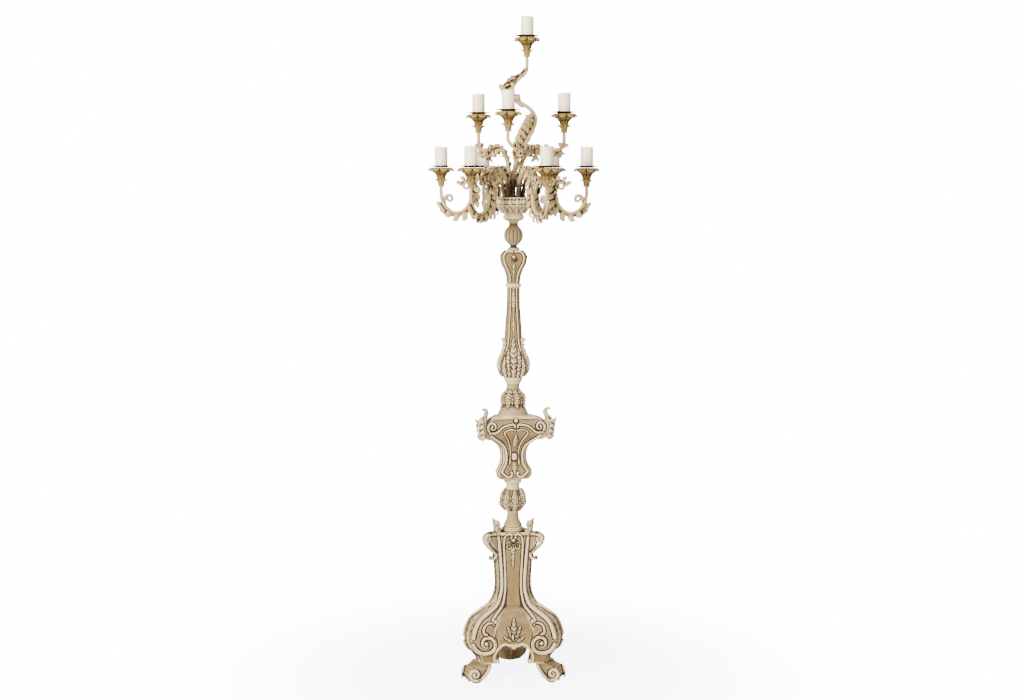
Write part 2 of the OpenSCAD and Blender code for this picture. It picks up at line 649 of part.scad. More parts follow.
module lower_column() {
    z0 = lower_column_z;
    h = lower_column_h;
    color("Wheat") difference() {
        rotate(base_turn) {
            three_sided(lower_column_face, lower_column_corner);
            thrice() {
                // ribs beside the sunk panel of the shaft
                raised(lower_column_face, 2.5) for (s = [0, 1]) mirror([s, 0, 0])
                    column_rib(lower_column_face, function (z) lower_corner_w(z), z0 + 0.3 * h, z0 + h - 1);
                // husk up the middle of each face of the bulb
                raised(lower_column_face, leaf_lift) {
                    polygon(leaf_outline([0, z0 + 0.03 * h], [0, z0 + 0.42 * h], 14, 3, 12));
                    for (s = [-1, 1]) polygon(leaf_outline([10 * s, z0 + 0.02 * h], [28 * s, z0 + 0.24 * h], 9, 2, 8));
                }
                // acanthus on the corners, ending in scrolls
                rotate(60) {
                    raised(lower_column_corner, leaf_lift + 1)
                        polygon(leaf_outline([0, z0 + 0.02 * h], [0, z0 + 0.4 * h], 13, 3, 12));
                    radial(10) {
                        polygon(band(curve([[lookup(z0 + 0.24 * h, lower_column_corner) - 4, z0 + 0.22 * h],
                            [lookup(z0 + 0.35 * h, lower_column_corner) + 2, z0 + 0.35 * h],
                            [shaft_face + 17, z0 + 0.42 * h], [shaft_face + 25, z0 + 0.445 * h]], 3), 9, 5));
                        translate([shaft_face + 24, z0 + 0.432 * h]) circle(4.5);
                    }
                }
            }
        }
        rod_hole();
    }
}

module column_collar() {
    r = shaft_face + 10;
    h = column_collar_h;
    color("Ivory") difference() {
        turned(curve([[r - 4, 0], [r - 1, 0.12 * h], [r, 0.35 * h], [r, 0.65 * h], [r - 1, 0.88 * h], [r - 4, h]], 3),
            column_collar_z);
        rod_hole();
    }
}

module upper_column() {
    z0 = upper_column_z;
    h = upper_column_h;
    color("Wheat") difference() {
        rotate(base_turn) {
            three_sided(upper_column_face, upper_column_corner);
            thrice() {
                raised(upper_column_face, 3) for (s = [0, 1]) mirror([s, 0, 0]) {
                    column_rib(upper_column_face, function (z) upper_corner_w, z0 + 1, z0 + 0.86 * h);
                    polygon(band(spiral([16, z0 + 0.84 * h], 15, 6, 0, 170, 8), 5, 4));
                }
                raised(upper_column_face, leaf_lift) {
                    translate([0, z0 + 0.74 * h]) circle(8);
                    for (a = [-50, 0, 50]) polygon(leaf_outline([0, z0 + 0.7 * h], [0, z0 + 0.7 * h]
                        - 17 * [sin(a), cos(a)], 3.8, 1, 5));
                    polygon(leaf_outline([0, z0 + 0.5 * h], [0, z0 + 0.14 * h], 6, 2, 8));
                }
            }
        }
        rod_hole();
    }
}

// ---- Gadrooned knop, ring and bowl ----

gadroon_points = curve([[shaft_face + 3, 0], [shaft_face + 5, 4], [shaft_face + 3.5, 7], [shaft_face - 3, 10],
    [shaft_face - 3.5, 15], [shaft_face + 2, 22], [gadroon_r - 3, 0.37 * gadroon_h], [gadroon_r, 0.53 * gadroon_h],
    [gadroon_r - 3, 0.67 * gadroon_h], [neck_r - 4, 0.8 * gadroon_h], [neck_r - 6, 0.9 * gadroon_h],
    [neck_r - 1, gadroon_h]], 2);

module gadroon_knop() {
    h = gadroon_h;
    grooves = 12;
    groove_profile = [for (p = gadroon_points) if (p[1] > 0.22 * h && p[1] < 0.8 * h) p];
    color("Tan") difference() {
        turned(gadroon_points, gadroon_z);
        // quirks between the gadroons
        for (k = [0:grooves - 1]) rotate(360 * k / grooves) translate([0, 0, gadroon_z]) radial(2)
            polygon(concat([for (p = groove_profile) [p[0] - 3 * sin(180 * (p[1] / h - 0.2) / 0.62), p[1]]],
                [[gadroon_r + 8, last(groove_profile)[1]], [gadroon_r + 8, groove_profile[0][1]]]));
        rod_hole();
    }
}

module bowl_ring() {
    h = bowl_ring_h;
    r = neck_r + 13;
    color("Ivory") difference() {
        turned(concat([[neck_r - 1, 0]], curve([[r - 8, 0.06 * h], [r - 1, 0.3 * h], [r, 0.55 * h], [r - 2, 0.8 * h],
            [r - 5, h]], 4)), bowl_ring_z);
        rod_hole();
    }
}

bowl_points = concat([[neck_r + 8, 0]], curve([[neck_r + 16, 1], [neck_r + 18, 0.08 * bowl_h],
    [bowl_r - 12, 0.2 * bowl_h], [bowl_r - 6, 0.36 * bowl_h], [bowl_r - 3, 0.44 * bowl_h]], 3),
    [[bowl_r - 1, 0.46 * bowl_h], [bowl_r - 1, 0.53 * bowl_h], [bowl_r - 4, 0.55 * bowl_h],
    [bowl_r - 3, 0.9 * bowl_h], [bowl_r, 0.92 * bowl_h], [bowl_r, bowl_h]]);

module bowl() {
    h = bowl_h;
    eggs = 14;
    color("Tan") difference() {
        union() {
            turned(bowl_points, bowl_z);
            // egg and dart under the rim
            raised_round([[bowl_r - 4, 0.56 * h], [bowl_r - 3, 0.91 * h]], bowl_z, 3, eggs) {
                translate([0, bowl_z + 0.74 * h]) circle(6.5);
                polygon([[8.8, bowl_z + 0.9 * h], [10.8, bowl_z + 0.9 * h], [10.2, bowl_z + 0.58 * h],
                    [9.2, bowl_z + 0.58 * h]]);
            }
        }
        translate([0, 0, block_z]) cylinder(r1 = block_bottom_r, r2 = block_r, h = rim_z - block_z + 0.01);
        rod_hole();
    }
}

module arm_block() {
    color("SaddleBrown") difference() {
        translate([0, 0, block_z]) cylinder(r1 = block_bottom_r - block_clearance,
            r2 = mix(block_bottom_r, block_r, (block_top - block_z) / (rim_z - block_z)) - block_clearance,
            h = block_top - block_z);
        for (turn = lower_turns) rotate(turn) translate([lower_root, 0, block_top - tenon_h - 1])
            cylinder(r = tenon_r + tenon_clearance, h = tenon_h + 2);
        for (turn = middle_turns) rotate(turn) translate([middle_root, 0, block_top - tenon_h - 1])
            cylinder(r = tenon_r + tenon_clearance, h = tenon_h + 2);
        translate([0, 0, block_top - tenon_h - 1]) cylinder(r = tenon_r + tenon_clearance, h = tenon_h + 2);
        translate([0, 0, block_z - 1]) cylinder(r = rod_r + 0.1, h = rod_top - block_z + 1);
    }
}

// ---- Tie rod ----

module tie_rod() {
    color("DimGray") translate([0, 0, core_z - washer_t - nut_t - 4])
        cylinder(r = rod_r, h = rod_top - core_z + washer_t + nut_t + 4);
}

module tie_rod_washer() {
    color("Silver") translate([0, 0, core_z - washer_t]) difference() {
        cylinder(r = washer_r, h = washer_t);
        translate([0, 0, -1]) cylinder(r = rod_r + 0.2, h = washer_t + 2);
    }
}

module tie_rod_nut() {
    color("Silver") translate([0, 0, core_z - washer_t - nut_t]) difference() {
        cylinder(r = nut_r, h = nut_t, $fn = 6);
        translate([0, 0, -1]) cylinder(r = rod_r + 0.1, h = nut_t + 2, $fn = 48);
    }
}

// ---- Arms ----

function cross_unit(a, b) = let (c = cross(a, b)) c / norm(c);
// Closed tube from rings of points that have the same count
module skin_of(rings) {
    n = len(rings);
    m = len(rings[0]);
    points = [for (r = rings) each r];
    polyhedron(points, concat(
        [for (k = [1:m - 2]) [0, k, k + 1]],
        [for (k = [1:m - 2]) [(n - 1) * m, (n - 1) * m + k + 1, (n - 1) * m + k]],
        [for (i = [0:n - 2], k = [0:m - 1]) let (a = i * m + k, b = i * m + (k + 1) % m) [a, a + m, b]],
        [for (i = [0:n - 2], k = [0:m - 1]) let (a = i * m + k, b = i * m + (k + 1) % m) [b, a + m, b + m]]));
}

// Round bar along a 3-D path, from radius r0 to r1; `up` is any direction across the path
module bar(path, r0, r1, up = [0, 1, 0], sides = 6) {
    n = len(path) - 1;
    skin_of([for (i = [0:n]) let (t = heading(path, i), q = cross_unit(up, t), p = cross_unit(t, q),
        r = mix(r0, r1, i / n)) [for (k = [0:sides - 1]) let (a = -360 * k / sides)
            path[i] + r * (cos(a) * p + sin(a) * q)]]);
}

// Acanthus leaf along a 3-D path: a veined blade with notched, drooping edges.
// `side` points across the leaf and `t` is its thickness at the vein.
module acanthus(path, w, lobes, t, droop, side = [0, 1, 0]) {
    n = len(path) - 1;
    skin_of([for (i = [0:n]) let (s = i / n, dir = heading(path, i), out = cross_unit(dir, side),
        saw = s * lobes - floor(s * lobes), fade = min(1, 1.15 * (1 - s) + 0.12),
        half = w * (0.25 + 0.75 * sin(180 * min(1, 0.12 + 0.88 * s))) * (0.62 + 0.38 * sin(180 * saw)))
        [path[i] - out * t * 0.6,
         path[i] + side * half - out * droop * half,
         path[i] + side * half * 0.5 + out * (t * 1.1 * fade - droop * half * 0.1),
         path[i] + out * t * 0.35 * fade,
         path[i] - side * half * 0.5 + out * (t * 1.1 * fade - droop * half * 0.1),
         path[i] - side * half - out * droop * half]]);
}

// Point of an arm's plane: r out from the axis, z up
function in_plane(p) = [for (q = p) [q[0], 0, q[1]]];

// Foliage along an arm: at each [share of the path, out, up], a lobe that leaves the path for its tip
module foliage(path, tips, t, w) {
    n = len(path) - 1;
    for (q = tips) let (i = round(q[0] * n), at = path[i], turn = atan2(at[1], at[0])) hull() {
        translate(at) rotate(turn) cube([t, w, t], center = true);
        translate(at + q[1] * [cos(turn), sin(turn), 0] + [0, 0, q[2]]) rotate(turn)
            cylinder(r1 = t * 0.3, r2 = 0, h = t * 0.4, $fn = 3);
    }
}

// Cup tenon on top of an arm and block tenon under its root
module arm_tenons(root, tip_z, tip_r) {
    translate([root, 0, block_top - tenon_h]) cylinder(r = tenon_r, h = tenon_h + 3, $fn = 12);
    translate([tip_r, 0, tip_z - 3]) cylinder(r = tenon_r, h = cup_tenon_h + 3, $fn = 10);
}

// Lower arm, in the plane of +X: up out of the bowl, over, down into a U and up to the cup
lower_path = curve([[lower_root, block_top], [lower_root + 1, rim_z + 20], [lower_root + 12, rim_z + 58],
    [lower_root + 38, rim_z + 85], [lower_root + 66, rim_z + 74], [lower_reach - 108, rim_z + 46],
    [lower_reach - 96, rim_z + 12], [lower_reach - 89, rim_z - 20], [lower_reach - 70, rim_z - 43],
    [lower_reach - 44, rim_z - 50], [lower_reach - 20, rim_z - 38], [lower_reach - 4, rim_z - 14],
    [lower_reach, rim_z + 8], [lower_reach, lower_cup_z]], 1);
lower_leaf_path = curve([for (i = [2:6]) beside(lower_path, i, 4.5)], 2);
lower_scroll = concat([[lower_reach - 12, rim_z - 26]], spiral([lower_reach - 26, rim_z - 6], 15, 6, -10, 290, 6));
upper_scroll = concat([[lower_reach - 96, rim_z + 8], [lower_reach - 97, rim_z + 22]],
    spiral([lower_reach - 80, rim_z + 33], 17, 6, 180, -120, 6));

module lower_arm(k) {
    color("Khaki") rotate(lower_turns[k]) union() {
        bar(in_plane(lower_path), arm_root_r, arm_tip_r);
        acanthus(in_plane(lower_leaf_path), 25, 4, 6, 0.75);
        bar(in_plane(lower_scroll), 6.5, 4, sides = 4);
        bar(in_plane(upper_scroll), 6, 4, sides = 4);
        // foliage under the U, and the leaf tip beyond the cup's stem
        foliage(in_plane(lower_path), [[0.54, -12, -30], [0.6, -14, -32], [0.66, -8, -34], [0.72, 2, -32],
            [0.76, 10, -28], [0.8, 16, -22], [0.84, 20, -14], [0.88, 30, -4]], 7, 8);
        arm_tenons(lower_root, lower_cup_z, lower_reach);
    }
}

// Middle arm: out of the bowl, an arch with a leaf, a level bar and an upright under the cup
middle_points = [[middle_root, block_top, 0], [middle_root, rim_z + 30, 0], [middle_root + 4, rim_z + 80, 0.2],
    [middle_root + 20, rim_z + 125, 0.7], [middle_root + 46, rim_z + 148, 1],
    [middle_reach - 62, rim_z + 143, 1], [middle_reach - 28, rim_z + 141, 0.55],
    [middle_reach - 6, rim_z + 152, 0.15], [middle_reach, rim_z + 172, 0], [middle_reach, middle_cup_z, 0]];
function swayed(p, sway) = [for (q = p) [q[0] * cos(sway * q[2]), q[0] * sin(sway * q[2]), q[1]]];

module middle_arm(k) {
    sway = middle_sways[k];
    path = curve(swayed(middle_points, sway), 2);
    leaf = curve(swayed([[middle_root + 8, rim_z + 105, 0.6], [middle_root + 26, rim_z + 142, 0.9],
        [middle_root + 56, rim_z + 158, 1], [middle_root + 86, rim_z + 144, 1], [middle_root + 98, rim_z + 118, 1]],
        sway), 2);
    color("Khaki") rotate(middle_turns[k]) union() {
        bar(path, arm_root_r, arm_tip_r, up = [-sin(sway / 2), cos(sway / 2), 0]);
        acanthus(leaf, 20, 3, 6, 0.6, side = [-sin(sway), cos(sway), 0]);
        foliage(path, [[0.6, -12, 18], [0.64, -14, -16], [0.7, -16, 20], [0.74, 4, -24], [0.79, 16, -20],
            [0.79, 26, -6], [0.84, 26, 8], [0.84, -12, 16]], 7, 8);
        arm_tenons(middle_root, middle_cup_z, middle_reach);
    }
}

// Top arm: a serpentine in the plane of +X, with a leaf on each bend
top_path = curve([[0, block_top], [-1, rim_z + 22], [2, rim_z + 78], [top_offset - 20, rim_z + 139],
    [top_offset + 4, rim_z + 182], [top_offset + 22, rim_z + 216], [top_offset + 27, rim_z + 240],
    [top_offset + 16, rim_z + 264], [top_offset - 8, rim_z + 283], [top_offset - 33, rim_z + 298],
    [top_offset - 54, rim_z + 313], [top_offset - 63, rim_z + 328], [top_offset - 57, rim_z + 344],
    [top_offset - 39, rim_z + 356], [top_offset - 17, rim_z + 368], [top_offset - 2, rim_z + 386],
    [top_offset, top_rise - 20 + rim_z], [top_offset, top_cup_z]], 2);
big_leaf_path = curve([[top_offset + 2, rim_z + 168], [top_offset + 30, rim_z + 214],
    [top_offset + 37, rim_z + 246], [top_offset + 20, rim_z + 276], [top_offset - 8, rim_z + 298],
    [top_offset - 30, rim_z + 318]], 2);
small_leaf_path = curve([[top_offset - 68, rim_z + 334], [top_offset - 50, rim_z + 358],
    [top_offset - 22, rim_z + 378], [top_offset - 6, rim_z + 392]], 3);

module top_arm() {
    color("Khaki") union() {
        bar(in_plane(top_path), arm_root_r, arm_tip_r);
        acanthus(in_plane(big_leaf_path), 22, 4, 6, 0.4);
        acanthus(in_plane(small_leaf_path), 17, 3, 5, 0.4);
        foliage(in_plane(top_path), [[0.24, -8, 14], [0.32, 12, 16], [0.38, 12, 12], [0.44, 10, 16],
            [0.5, 6, 16], [0.56, -6, -12], [0.65, -14, 2], [0.76, -12, 16]], 7, 8);
        arm_tenons(0, top_cup_z, top_offset);
    }
}

module lower_arm_1() lower_arm(0);
module lower_arm_2() lower_arm(1);
module lower_arm_3() lower_arm(2);
module lower_arm_4() lower_arm(3);
module lower_arm_5() lower_arm(4);
module lower_arm_6() lower_arm(5);
module middle_arm_1() middle_arm(0);
module middle_arm_2() middle_arm(1);
module middle_arm_3() middle_arm(2);

// ---- Cups, pans and candles, each drawn with its foot at the origin ----

module cup() {
    petals = 8;
    h = cup_h;
    difference() {
        union() {
            intersection() {
                turned(concat([[arm_tip_r + 1.5, 0]], curve([[arm_tip_r + 3, 0.06 * h], [arm_tip_r + 6, 0.25 * h],
                    [arm_tip_r + 9, 0.45 * h], [arm_tip_r + 15, 0.65 * h], [cup_r - 10, 0.82 * h],
                    [cup_r, 0.9 * h]], 1), [[cup_r + 1, 0.94 * h], [cup_r - 8, h]]));
                linear_extrude(2 * h) {
                    circle(cup_r - 9);
                    for (k = [0:petals - 1]) rotate(360 * (k + 0.5) / petals) translate([cup_r - 14, 0])
                        circle(14.5);
                }
            }
            // calyx ring
            turned([[arm_tip_r + 4, 0.3 * h], [arm_tip_r + 10, 0.335 * h], [arm_tip_r + 10, 0.36 * h],
                [arm_tip_r + 5, 0.385 * h]]);
        }
        // flutes between the petals
        for (k = [0:petals - 1]) rotate(360 * k / petals) radial(2.4) polygon([[arm_tip_r + 6.2, 0.42 * h],
            [arm_tip_r + 9, 0.64 * h], [cup_r - 15, 0.8 * h], [cup_r - 6, 0.87 * h], [cup_r + 4, 0.87 * h],
            [cup_r + 4, 0.42 * h]]);
        translate([0, 0, -1]) cylinder(r = tenon_r + tenon_clearance, h = cup_tenon_h + 2);
    }
}

module pan() {
    scallops = 12;
    r = pan_r;
    difference() {
        union() {
            cylinder(r = candle_r - 3, h = pan_floor - pan_t);
            translate([0, 0, pan_floor - pan_t]) cylinder(r = candle_r + 4, h = pan_t);
            translate([0, 0, pan_floor - pan_t]) rotate_extrude() polygon([[candle_r + 3, 0], [r - 6, 2.8],
                [r, 2.8], [r, 2.8 + pan_t], [r - 6, 2.8 + pan_t], [candle_r + 3, pan_t]]);
        }
        for (k = [0:scallops - 1]) rotate(360 * k / scallops) translate([r + 2, 0, 0]) cylinder(r = 4.4, h = 20);
    }
    translate([0, 0, pan_floor - 0.5]) cylinder(r = spike_r, h = spike_h * 0.7 + 0.5);
    translate([0, 0, pan_floor + spike_h * 0.7]) cylinder(r1 = spike_r, r2 = 0.6, h = spike_h * 0.3);
}

module candle() {
    r = candle_r;
    h = candle_h;
    color("LightYellow") translate([0, 0, cup_h + pan_floor]) difference() {
        turned([[r, 0], [r, h - 1.6], [r - 0.5, h - 0.5], [r - 1.6, h], [r - 3, h - 0.6], [wick_r, h - 1.4],
            [wick_r, h + wick_h]]);
        translate([0, 0, -1]) cylinder(r = spike_r + spike_clearance, h = spike_h + 3);
    }
}

module at_lower(k) rotate(lower_turns[k]) translate([lower_reach, 0, lower_cup_z]) children();
module at_middle(k) rotate(middle_turns[k]) translate([middle_reach, 0, middle_cup_z]) children();
module at_top() translate([top_offset, 0, top_cup_z]) children();

module lower_cups() color("Goldenrod") for (k = [0:5]) at_lower(k) cup();
module middle_cups() color("Goldenrod") for (k = [0:2]) at_middle(k) cup();
module top_cup() color("Goldenrod") at_top() cup();
module lower_pans() color("DimGray") for (k = [0:5]) at_lower(k) translate([0, 0, cup_h]) pan();
module middle_pans() color("DimGray") for (k = [0:2]) at_middle(k) translate([0, 0, cup_h]) pan();
module top_pan() color("DimGray") at_top() translate([0, 0, cup_h]) pan();
module candle_lower_1() at_lower(0) candle();
module candle_lower_2() at_lower(1) candle();
module candle_lower_3() at_lower(2) candle();
module candle_lower_4() at_lower(3) candle();
module candle_lower_5() at_lower(4) candle();
module candle_lower_6() at_lower(5) candle();
module candle_middle_1() at_middle(0) candle();
module candle_middle_2() at_middle(1) candle();
module candle_middle_3() at_middle(2) candle();
module candle_top() at_top() candle();

foot_left();
foot_right();
foot_rear();
base_core();
base_panel_front();
base_panel_right();
base_panel_left();
base_stile_left();
base_stile_right();
base_stile_rear();
base_bracket_left();
base_bracket_right();
base_bracket_rear();
base_collar();
leaf_knop();
pedestal_ring();
pedestal();
pedestal_ear_left();
pedestal_ear_right();
pedestal_ear_rear();
dome_cap();
column_ring();
lower_column();
column_collar();
upper_column();
gadroon_knop();
bowl_ring();
bowl();
arm_block();
tie_rod();
tie_rod_washer();
tie_rod_nut();
lower_arm_1();
lower_arm_2();
lower_arm_3();
lower_arm_4();
lower_arm_5();
lower_arm_6();
middle_arm_1();
middle_arm_2();
middle_arm_3();
top_arm();
lower_cups();
middle_cups();
top_cup();
lower_pans();
middle_pans();
top_pan();
candle_lower_1();
candle_lower_2();
candle_lower_3();
candle_lower_4();
candle_lower_5();
candle_lower_6();
candle_middle_1();
candle_middle_2();
candle_middle_3();
candle_top();
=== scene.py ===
# Looks of the carved floor candelabrum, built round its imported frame.
# Shapes are worked out in millimetres in the frame's own axes and turned to metres in one place.
import math

import bpy
import numpy as np
from mathutils import Matrix, Vector


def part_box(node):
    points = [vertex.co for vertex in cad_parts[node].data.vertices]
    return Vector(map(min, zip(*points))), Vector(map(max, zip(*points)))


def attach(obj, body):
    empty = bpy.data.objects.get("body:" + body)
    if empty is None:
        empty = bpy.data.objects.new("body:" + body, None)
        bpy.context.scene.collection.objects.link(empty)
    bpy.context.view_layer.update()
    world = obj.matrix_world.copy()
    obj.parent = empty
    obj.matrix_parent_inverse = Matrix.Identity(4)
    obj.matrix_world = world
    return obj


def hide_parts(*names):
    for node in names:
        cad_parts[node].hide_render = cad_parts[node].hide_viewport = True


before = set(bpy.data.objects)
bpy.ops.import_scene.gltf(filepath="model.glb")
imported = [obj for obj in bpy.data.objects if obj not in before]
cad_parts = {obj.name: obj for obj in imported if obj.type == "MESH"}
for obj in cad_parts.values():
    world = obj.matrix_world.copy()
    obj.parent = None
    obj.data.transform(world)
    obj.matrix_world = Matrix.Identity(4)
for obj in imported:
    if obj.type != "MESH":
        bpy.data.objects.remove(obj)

MM = 0.001
ROOT3 = math.sqrt(3)
FAR = 1e9   # stands for "nowhere near" in distances
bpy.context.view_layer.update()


def low(node):
    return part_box(node)[0].z / MM


def high(node):
    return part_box(node)[1].z / MM


def height_of(node):
    return high(node) - low(node)


# ---- Sizes: levels come from the frame, widths repeat the part's driving sizes ----

foot_h = high("foot_left")
base_h = high("base_core")
leaf_knop_z = low("leaf_knop")
ped_z = low("pedestal")
dome_z = low("dome_cap")
lower_column_z = low("lower_column")
column_collar_z = low("column_collar")
upper_column_z = low("upper_column")
gadroon_z = low("gadroon_knop")
bowl_z = low("bowl")
rim_z = high("bowl")
block_top = high("arm_block")
lower_cup_z = low("lower_cups")
middle_cup_z = low("middle_cups")
top_cup_z = low("top_cup")
cup_h = height_of("lower_cups")

belly_h, waist_h = 141, 285
belly_face, waist_face, foot_face, neck_face = 105, 41, 107, 83
belly_corner, waist_corner = 50, 30
stile_w = 24
base_turn, ped_turn = 3, 9
ped_face, ped_waist = 69, 29.5
ped_corner_w, ped_waist_corner = 28, 22
collar_r, leaf_knop_r, neck_r, dome_r = 28, 38, 20, 50
shaft_face, bulb_face = 15, 37
gadroon_r, bowl_r = 28, 54
gadroons = 14
lower_reach, middle_reach, top_offset = 226, 160, 40
lower_root, middle_root = bowl_r - 24, 16
arm_root_r, arm_tip_r = 7, 5.5
cup_r, pan_r, candle_r, spike_r, spike_h = 42, 38, 20, 2.5, 28
pan_floor, wick_h = 3.5, 5.0
lower_turns = [-4.5 + 60 * k for k in range(6)]
middle_turns = [12, 134, 264]
middle_sways = [0, 0, 42]
ped_h = dome_z - ped_z
inner_top = base_h - 42
OVER = (0, 1, 0)   # across the plane in which an arm is drawn


# ---- Curves ----

def mix(a, b, t):
    return a + (b - a) * t


def ramp(x, a, b):
    t = np.clip((x - a) / (b - a), 0, 1)
    return t * t * (3 - 2 * t)


def bell(x, centre, width):
    return np.exp(-((x - centre) / width) ** 2)


def dome(t, power=2):
    """Rounded top over -1 to 1."""
    return np.sqrt(np.clip(1 - t ** power, 0, 1))


def unit(v):
    return v / (np.linalg.norm(v, axis=-1, keepdims=True) + 1e-9)


def smooth_curve(points, steps=8):
    """Catmull-Rom curve through the points, with some steps between neighbours."""
    p = np.array(points, float)
    ends = np.vstack([p[0], p, p[-1]])
    t = (np.arange(steps) / steps)[:, None]
    runs = []
    for i in range(1, len(ends) - 2):
        a, b, c, d = ends[i - 1:i + 3]
        runs.append(0.5 * (2 * b + (c - a) * t + (2 * a - 5 * b + 4 * c - d) * t ** 2
                           + (3 * b - a - 3 * c + d) * t ** 3))
    return np.vstack(runs + [p[-1:]])


def spiral(centre, r0, r1, a0, a1, steps=60):
    t = np.linspace(0, 1, steps + 1)
    r = mix(r0, r1, t ** 0.72)
    a = np.radians(mix(a0, a1, t))
    return np.stack([centre[0] + r * np.cos(a), centre[1] + r * np.sin(a)], 1)


def run_of(path):
    """Length along a path up to each of its points."""
    return np.concatenate([[0], np.cumsum(np.linalg.norm(np.diff(path, axis=0), axis=1))])


def along(path, shares):
    """Points at these shares of a path's length."""
    run = run_of(path)
    return np.stack([np.interp(shares, run / run[-1], path[:, k]) for k in range(path.shape[1])], -1)


class Profile:
    """Distance of a face from the axis against the height."""

    def __init__(self, points, steps=8):
        line = smooth_curve(points, steps)
        self.z, self.d = line[:, 0], line[:, 1]
        self.run = run_of(line)

    def at(self, z):
        return np.interp(z, self.z, self.d)

    def spread(self, z0, z1, share):
        """Heights between z0 and z1, evenly spaced along the face."""
        r0, r1 = np.interp(z0, self.z, self.run), np.interp(z1, self.z, self.run)
        return np.interp(mix(r0, r1, share), self.run, self.z)


def slope(line, z, step=0.7):
    return (line(z + step) - line(z - step)) / (2 * step)


# ---- Carving as heights over a face: s sideways and z up, both unrolled ----

def sided(path, both):
    """A path, and its mirror image about the middle of the face where both are wanted."""
    path = np.array(path, float)
    return [path, path * [-1, 1]] if both else [path]


class Carving:
    def __init__(self, s, z):
        self.s, self.z = s, z
        self.lift, self.cut, self.ivory, self.glaze = (np.zeros(s.shape) for _ in range(4))

    def nearest(self, path, margin):
        """Distance to a path, and the share of its length at the nearest point."""
        lo, hi = path.min(0) - margin, path.max(0) + margin
        near = (self.s > lo[0]) & (self.s < hi[0]) & (self.z > lo[1]) & (self.z < hi[1])
        p = np.stack([self.s[near], self.z[near]], 1)
        best, share = np.full(len(p), FAR), np.zeros(len(p))
        run = run_of(path)
        for i, step in enumerate(np.diff(run)):
            if step < 1e-6:
                continue
            d = (path[i + 1] - path[i]) / step
            t = np.clip((p - path[i]) @ d, 0, step)
            away = np.hypot(*(p - path[i] - t[:, None] * d).T)
            closer = away < best
            best[closer] = away[closer]
            share[closer] = ((run[i] + t) / run[-1])[closer]
        distance, where = np.full(self.s.shape, FAR), np.zeros(self.s.shape)
        distance[near], where[near] = best, share
        return distance, where

    def raise_to(self, height, ivory):
        over = height > self.lift
        self.ivory[over] = (np.ones(self.s.shape) * ivory)[over]
        self.lift = np.maximum(self.lift, height)

    # Painted shade: darkens the tone in grooves, round outlines and on sunk grounds, on top of the glaze.
    def shade(self, amount):
        self.glaze = np.maximum(self.glaze, amount)

    def moulding(self, path, w0, w1, lift, ivory=1.0, groove=1.2, both=False):
        """Half-round bead along a path, with a quirk on each side of it darkened by painted shade."""
        for line in sided(path, both):
            d, share = self.nearest(line, 2 * max(w0, w1))
            half = mix(w0, w1, share) / 2
            self.raise_to(np.where(d < half, lift * dome(d / half, 2.6), 0), ivory)
            quirk = bell(d, half + 1.5, 1.7) * (d < FAR / 10)
            self.cut = np.maximum(self.cut, groove * quirk)
            self.shade(quirk * 0.95)

    def leaf(self, path, width, lift, lobes=3, ivory=0.5, both=False, curl=0.3):
        """Pointed leaf along a path, with a vein, ribs and notched edges."""
        for line in sided(path, both):
            d, t = self.nearest(line, 1.5 * width)
            saw = np.abs(np.sin(np.pi * t * lobes))
            half = width * np.sin(np.pi * np.clip(t, 0.001, 0.999) ** 0.75) ** 0.8 * (0.74 + 0.26 * saw)
            v = d / np.maximum(half, 0.3)
            ribs = np.cos(2 * np.pi * (t * lobes * 2 - 0.7 * v))
            body = (1 - v ** 3) * (0.72 + 0.16 * ribs + curl * bell(v, 0, 0.14))
            inside = (v < 1) & (t > 0.004) & (t < 0.996)
            self.raise_to(np.where(inside, lift * np.clip(body, 0, 2), 0), ivory + 0.2 * ribs)
            self.shade(bell(d, half + 1.0, 1.5) * (d < FAR / 10) * (half > 1) * 0.8)
            self.shade(np.where(inside, 0.4 * (ribs < -0.75), 0))

    def boss(self, centre, rs, rz, lift, ivory=0.8, both=False):
        for s, z in np.vstack(sided([centre], both)):
            t = np.hypot((self.s - s) / rs, (self.z - z) / rz)
            self.raise_to(np.where(t < 1, lift * dome(t), 0), ivory)
            self.shade(bell(t, 1.25, 0.25) * 0.9)

    def height(self):
        return self.lift - self.cut * (self.lift <= 0.4)


# ---- Meshes from arrays in millimetres; a part is a pair (points, faces) ----

def grid_faces(rows, cols, wrap=False, start=0):
    """Quads of a grid that face outwards when columns run rightwards and rows upwards, seen from outside."""
    i, j = np.meshgrid(np.arange(rows - 1), np.arange(cols if wrap else cols - 1), indexing="ij")
    k = (j + 1) % cols
    return (np.stack([i * cols + j, i * cols + k, (i + 1) * cols + k, (i + 1) * cols + j], -1)
            .reshape(-1, 4) + start).tolist()


def tube(rings, first, last):
    """Closed part through rings [row, column, 3], drawn to a point at each end."""
    rows, cols = rings.shape[:2]
    top = (rows - 1) * cols
    faces = grid_faces(rows, cols, wrap=True)
    faces += [[rows * cols, (k + 1) % cols, k] for k in range(cols)]
    faces += [[rows * cols + 1, top + k, top + (k + 1) % cols] for k in range(cols)]
    return np.vstack([rings.reshape(-1, 3), [first, last]]), faces


def slab_faces(rows, cols, pick):
    """Faces of a front grid, of a back grid that repeats its picked rows, and of the four edges between."""
    k, last = rows * cols, len(pick)
    faces = grid_faces(rows, cols) + [q[::-1] for q in grid_faces(last, cols, start=k)]
    for j in range(cols - 1):
        a, b = (rows - 1) * cols + j, k + (last - 1) * cols + j
        faces += [[k + j, k + j + 1, j + 1, j], [a, a + 1, b + 1, b]]
    for i in range(last - 1):
        left = [f * cols for f in range(pick[i], pick[i + 1] + 1)]
        near, far = k + i * cols, k + (i + 1) * cols
        faces += [left[::-1] + [near, far], [f + cols - 1 for f in left] + [far + cols - 1, near + cols - 1]]
    return faces


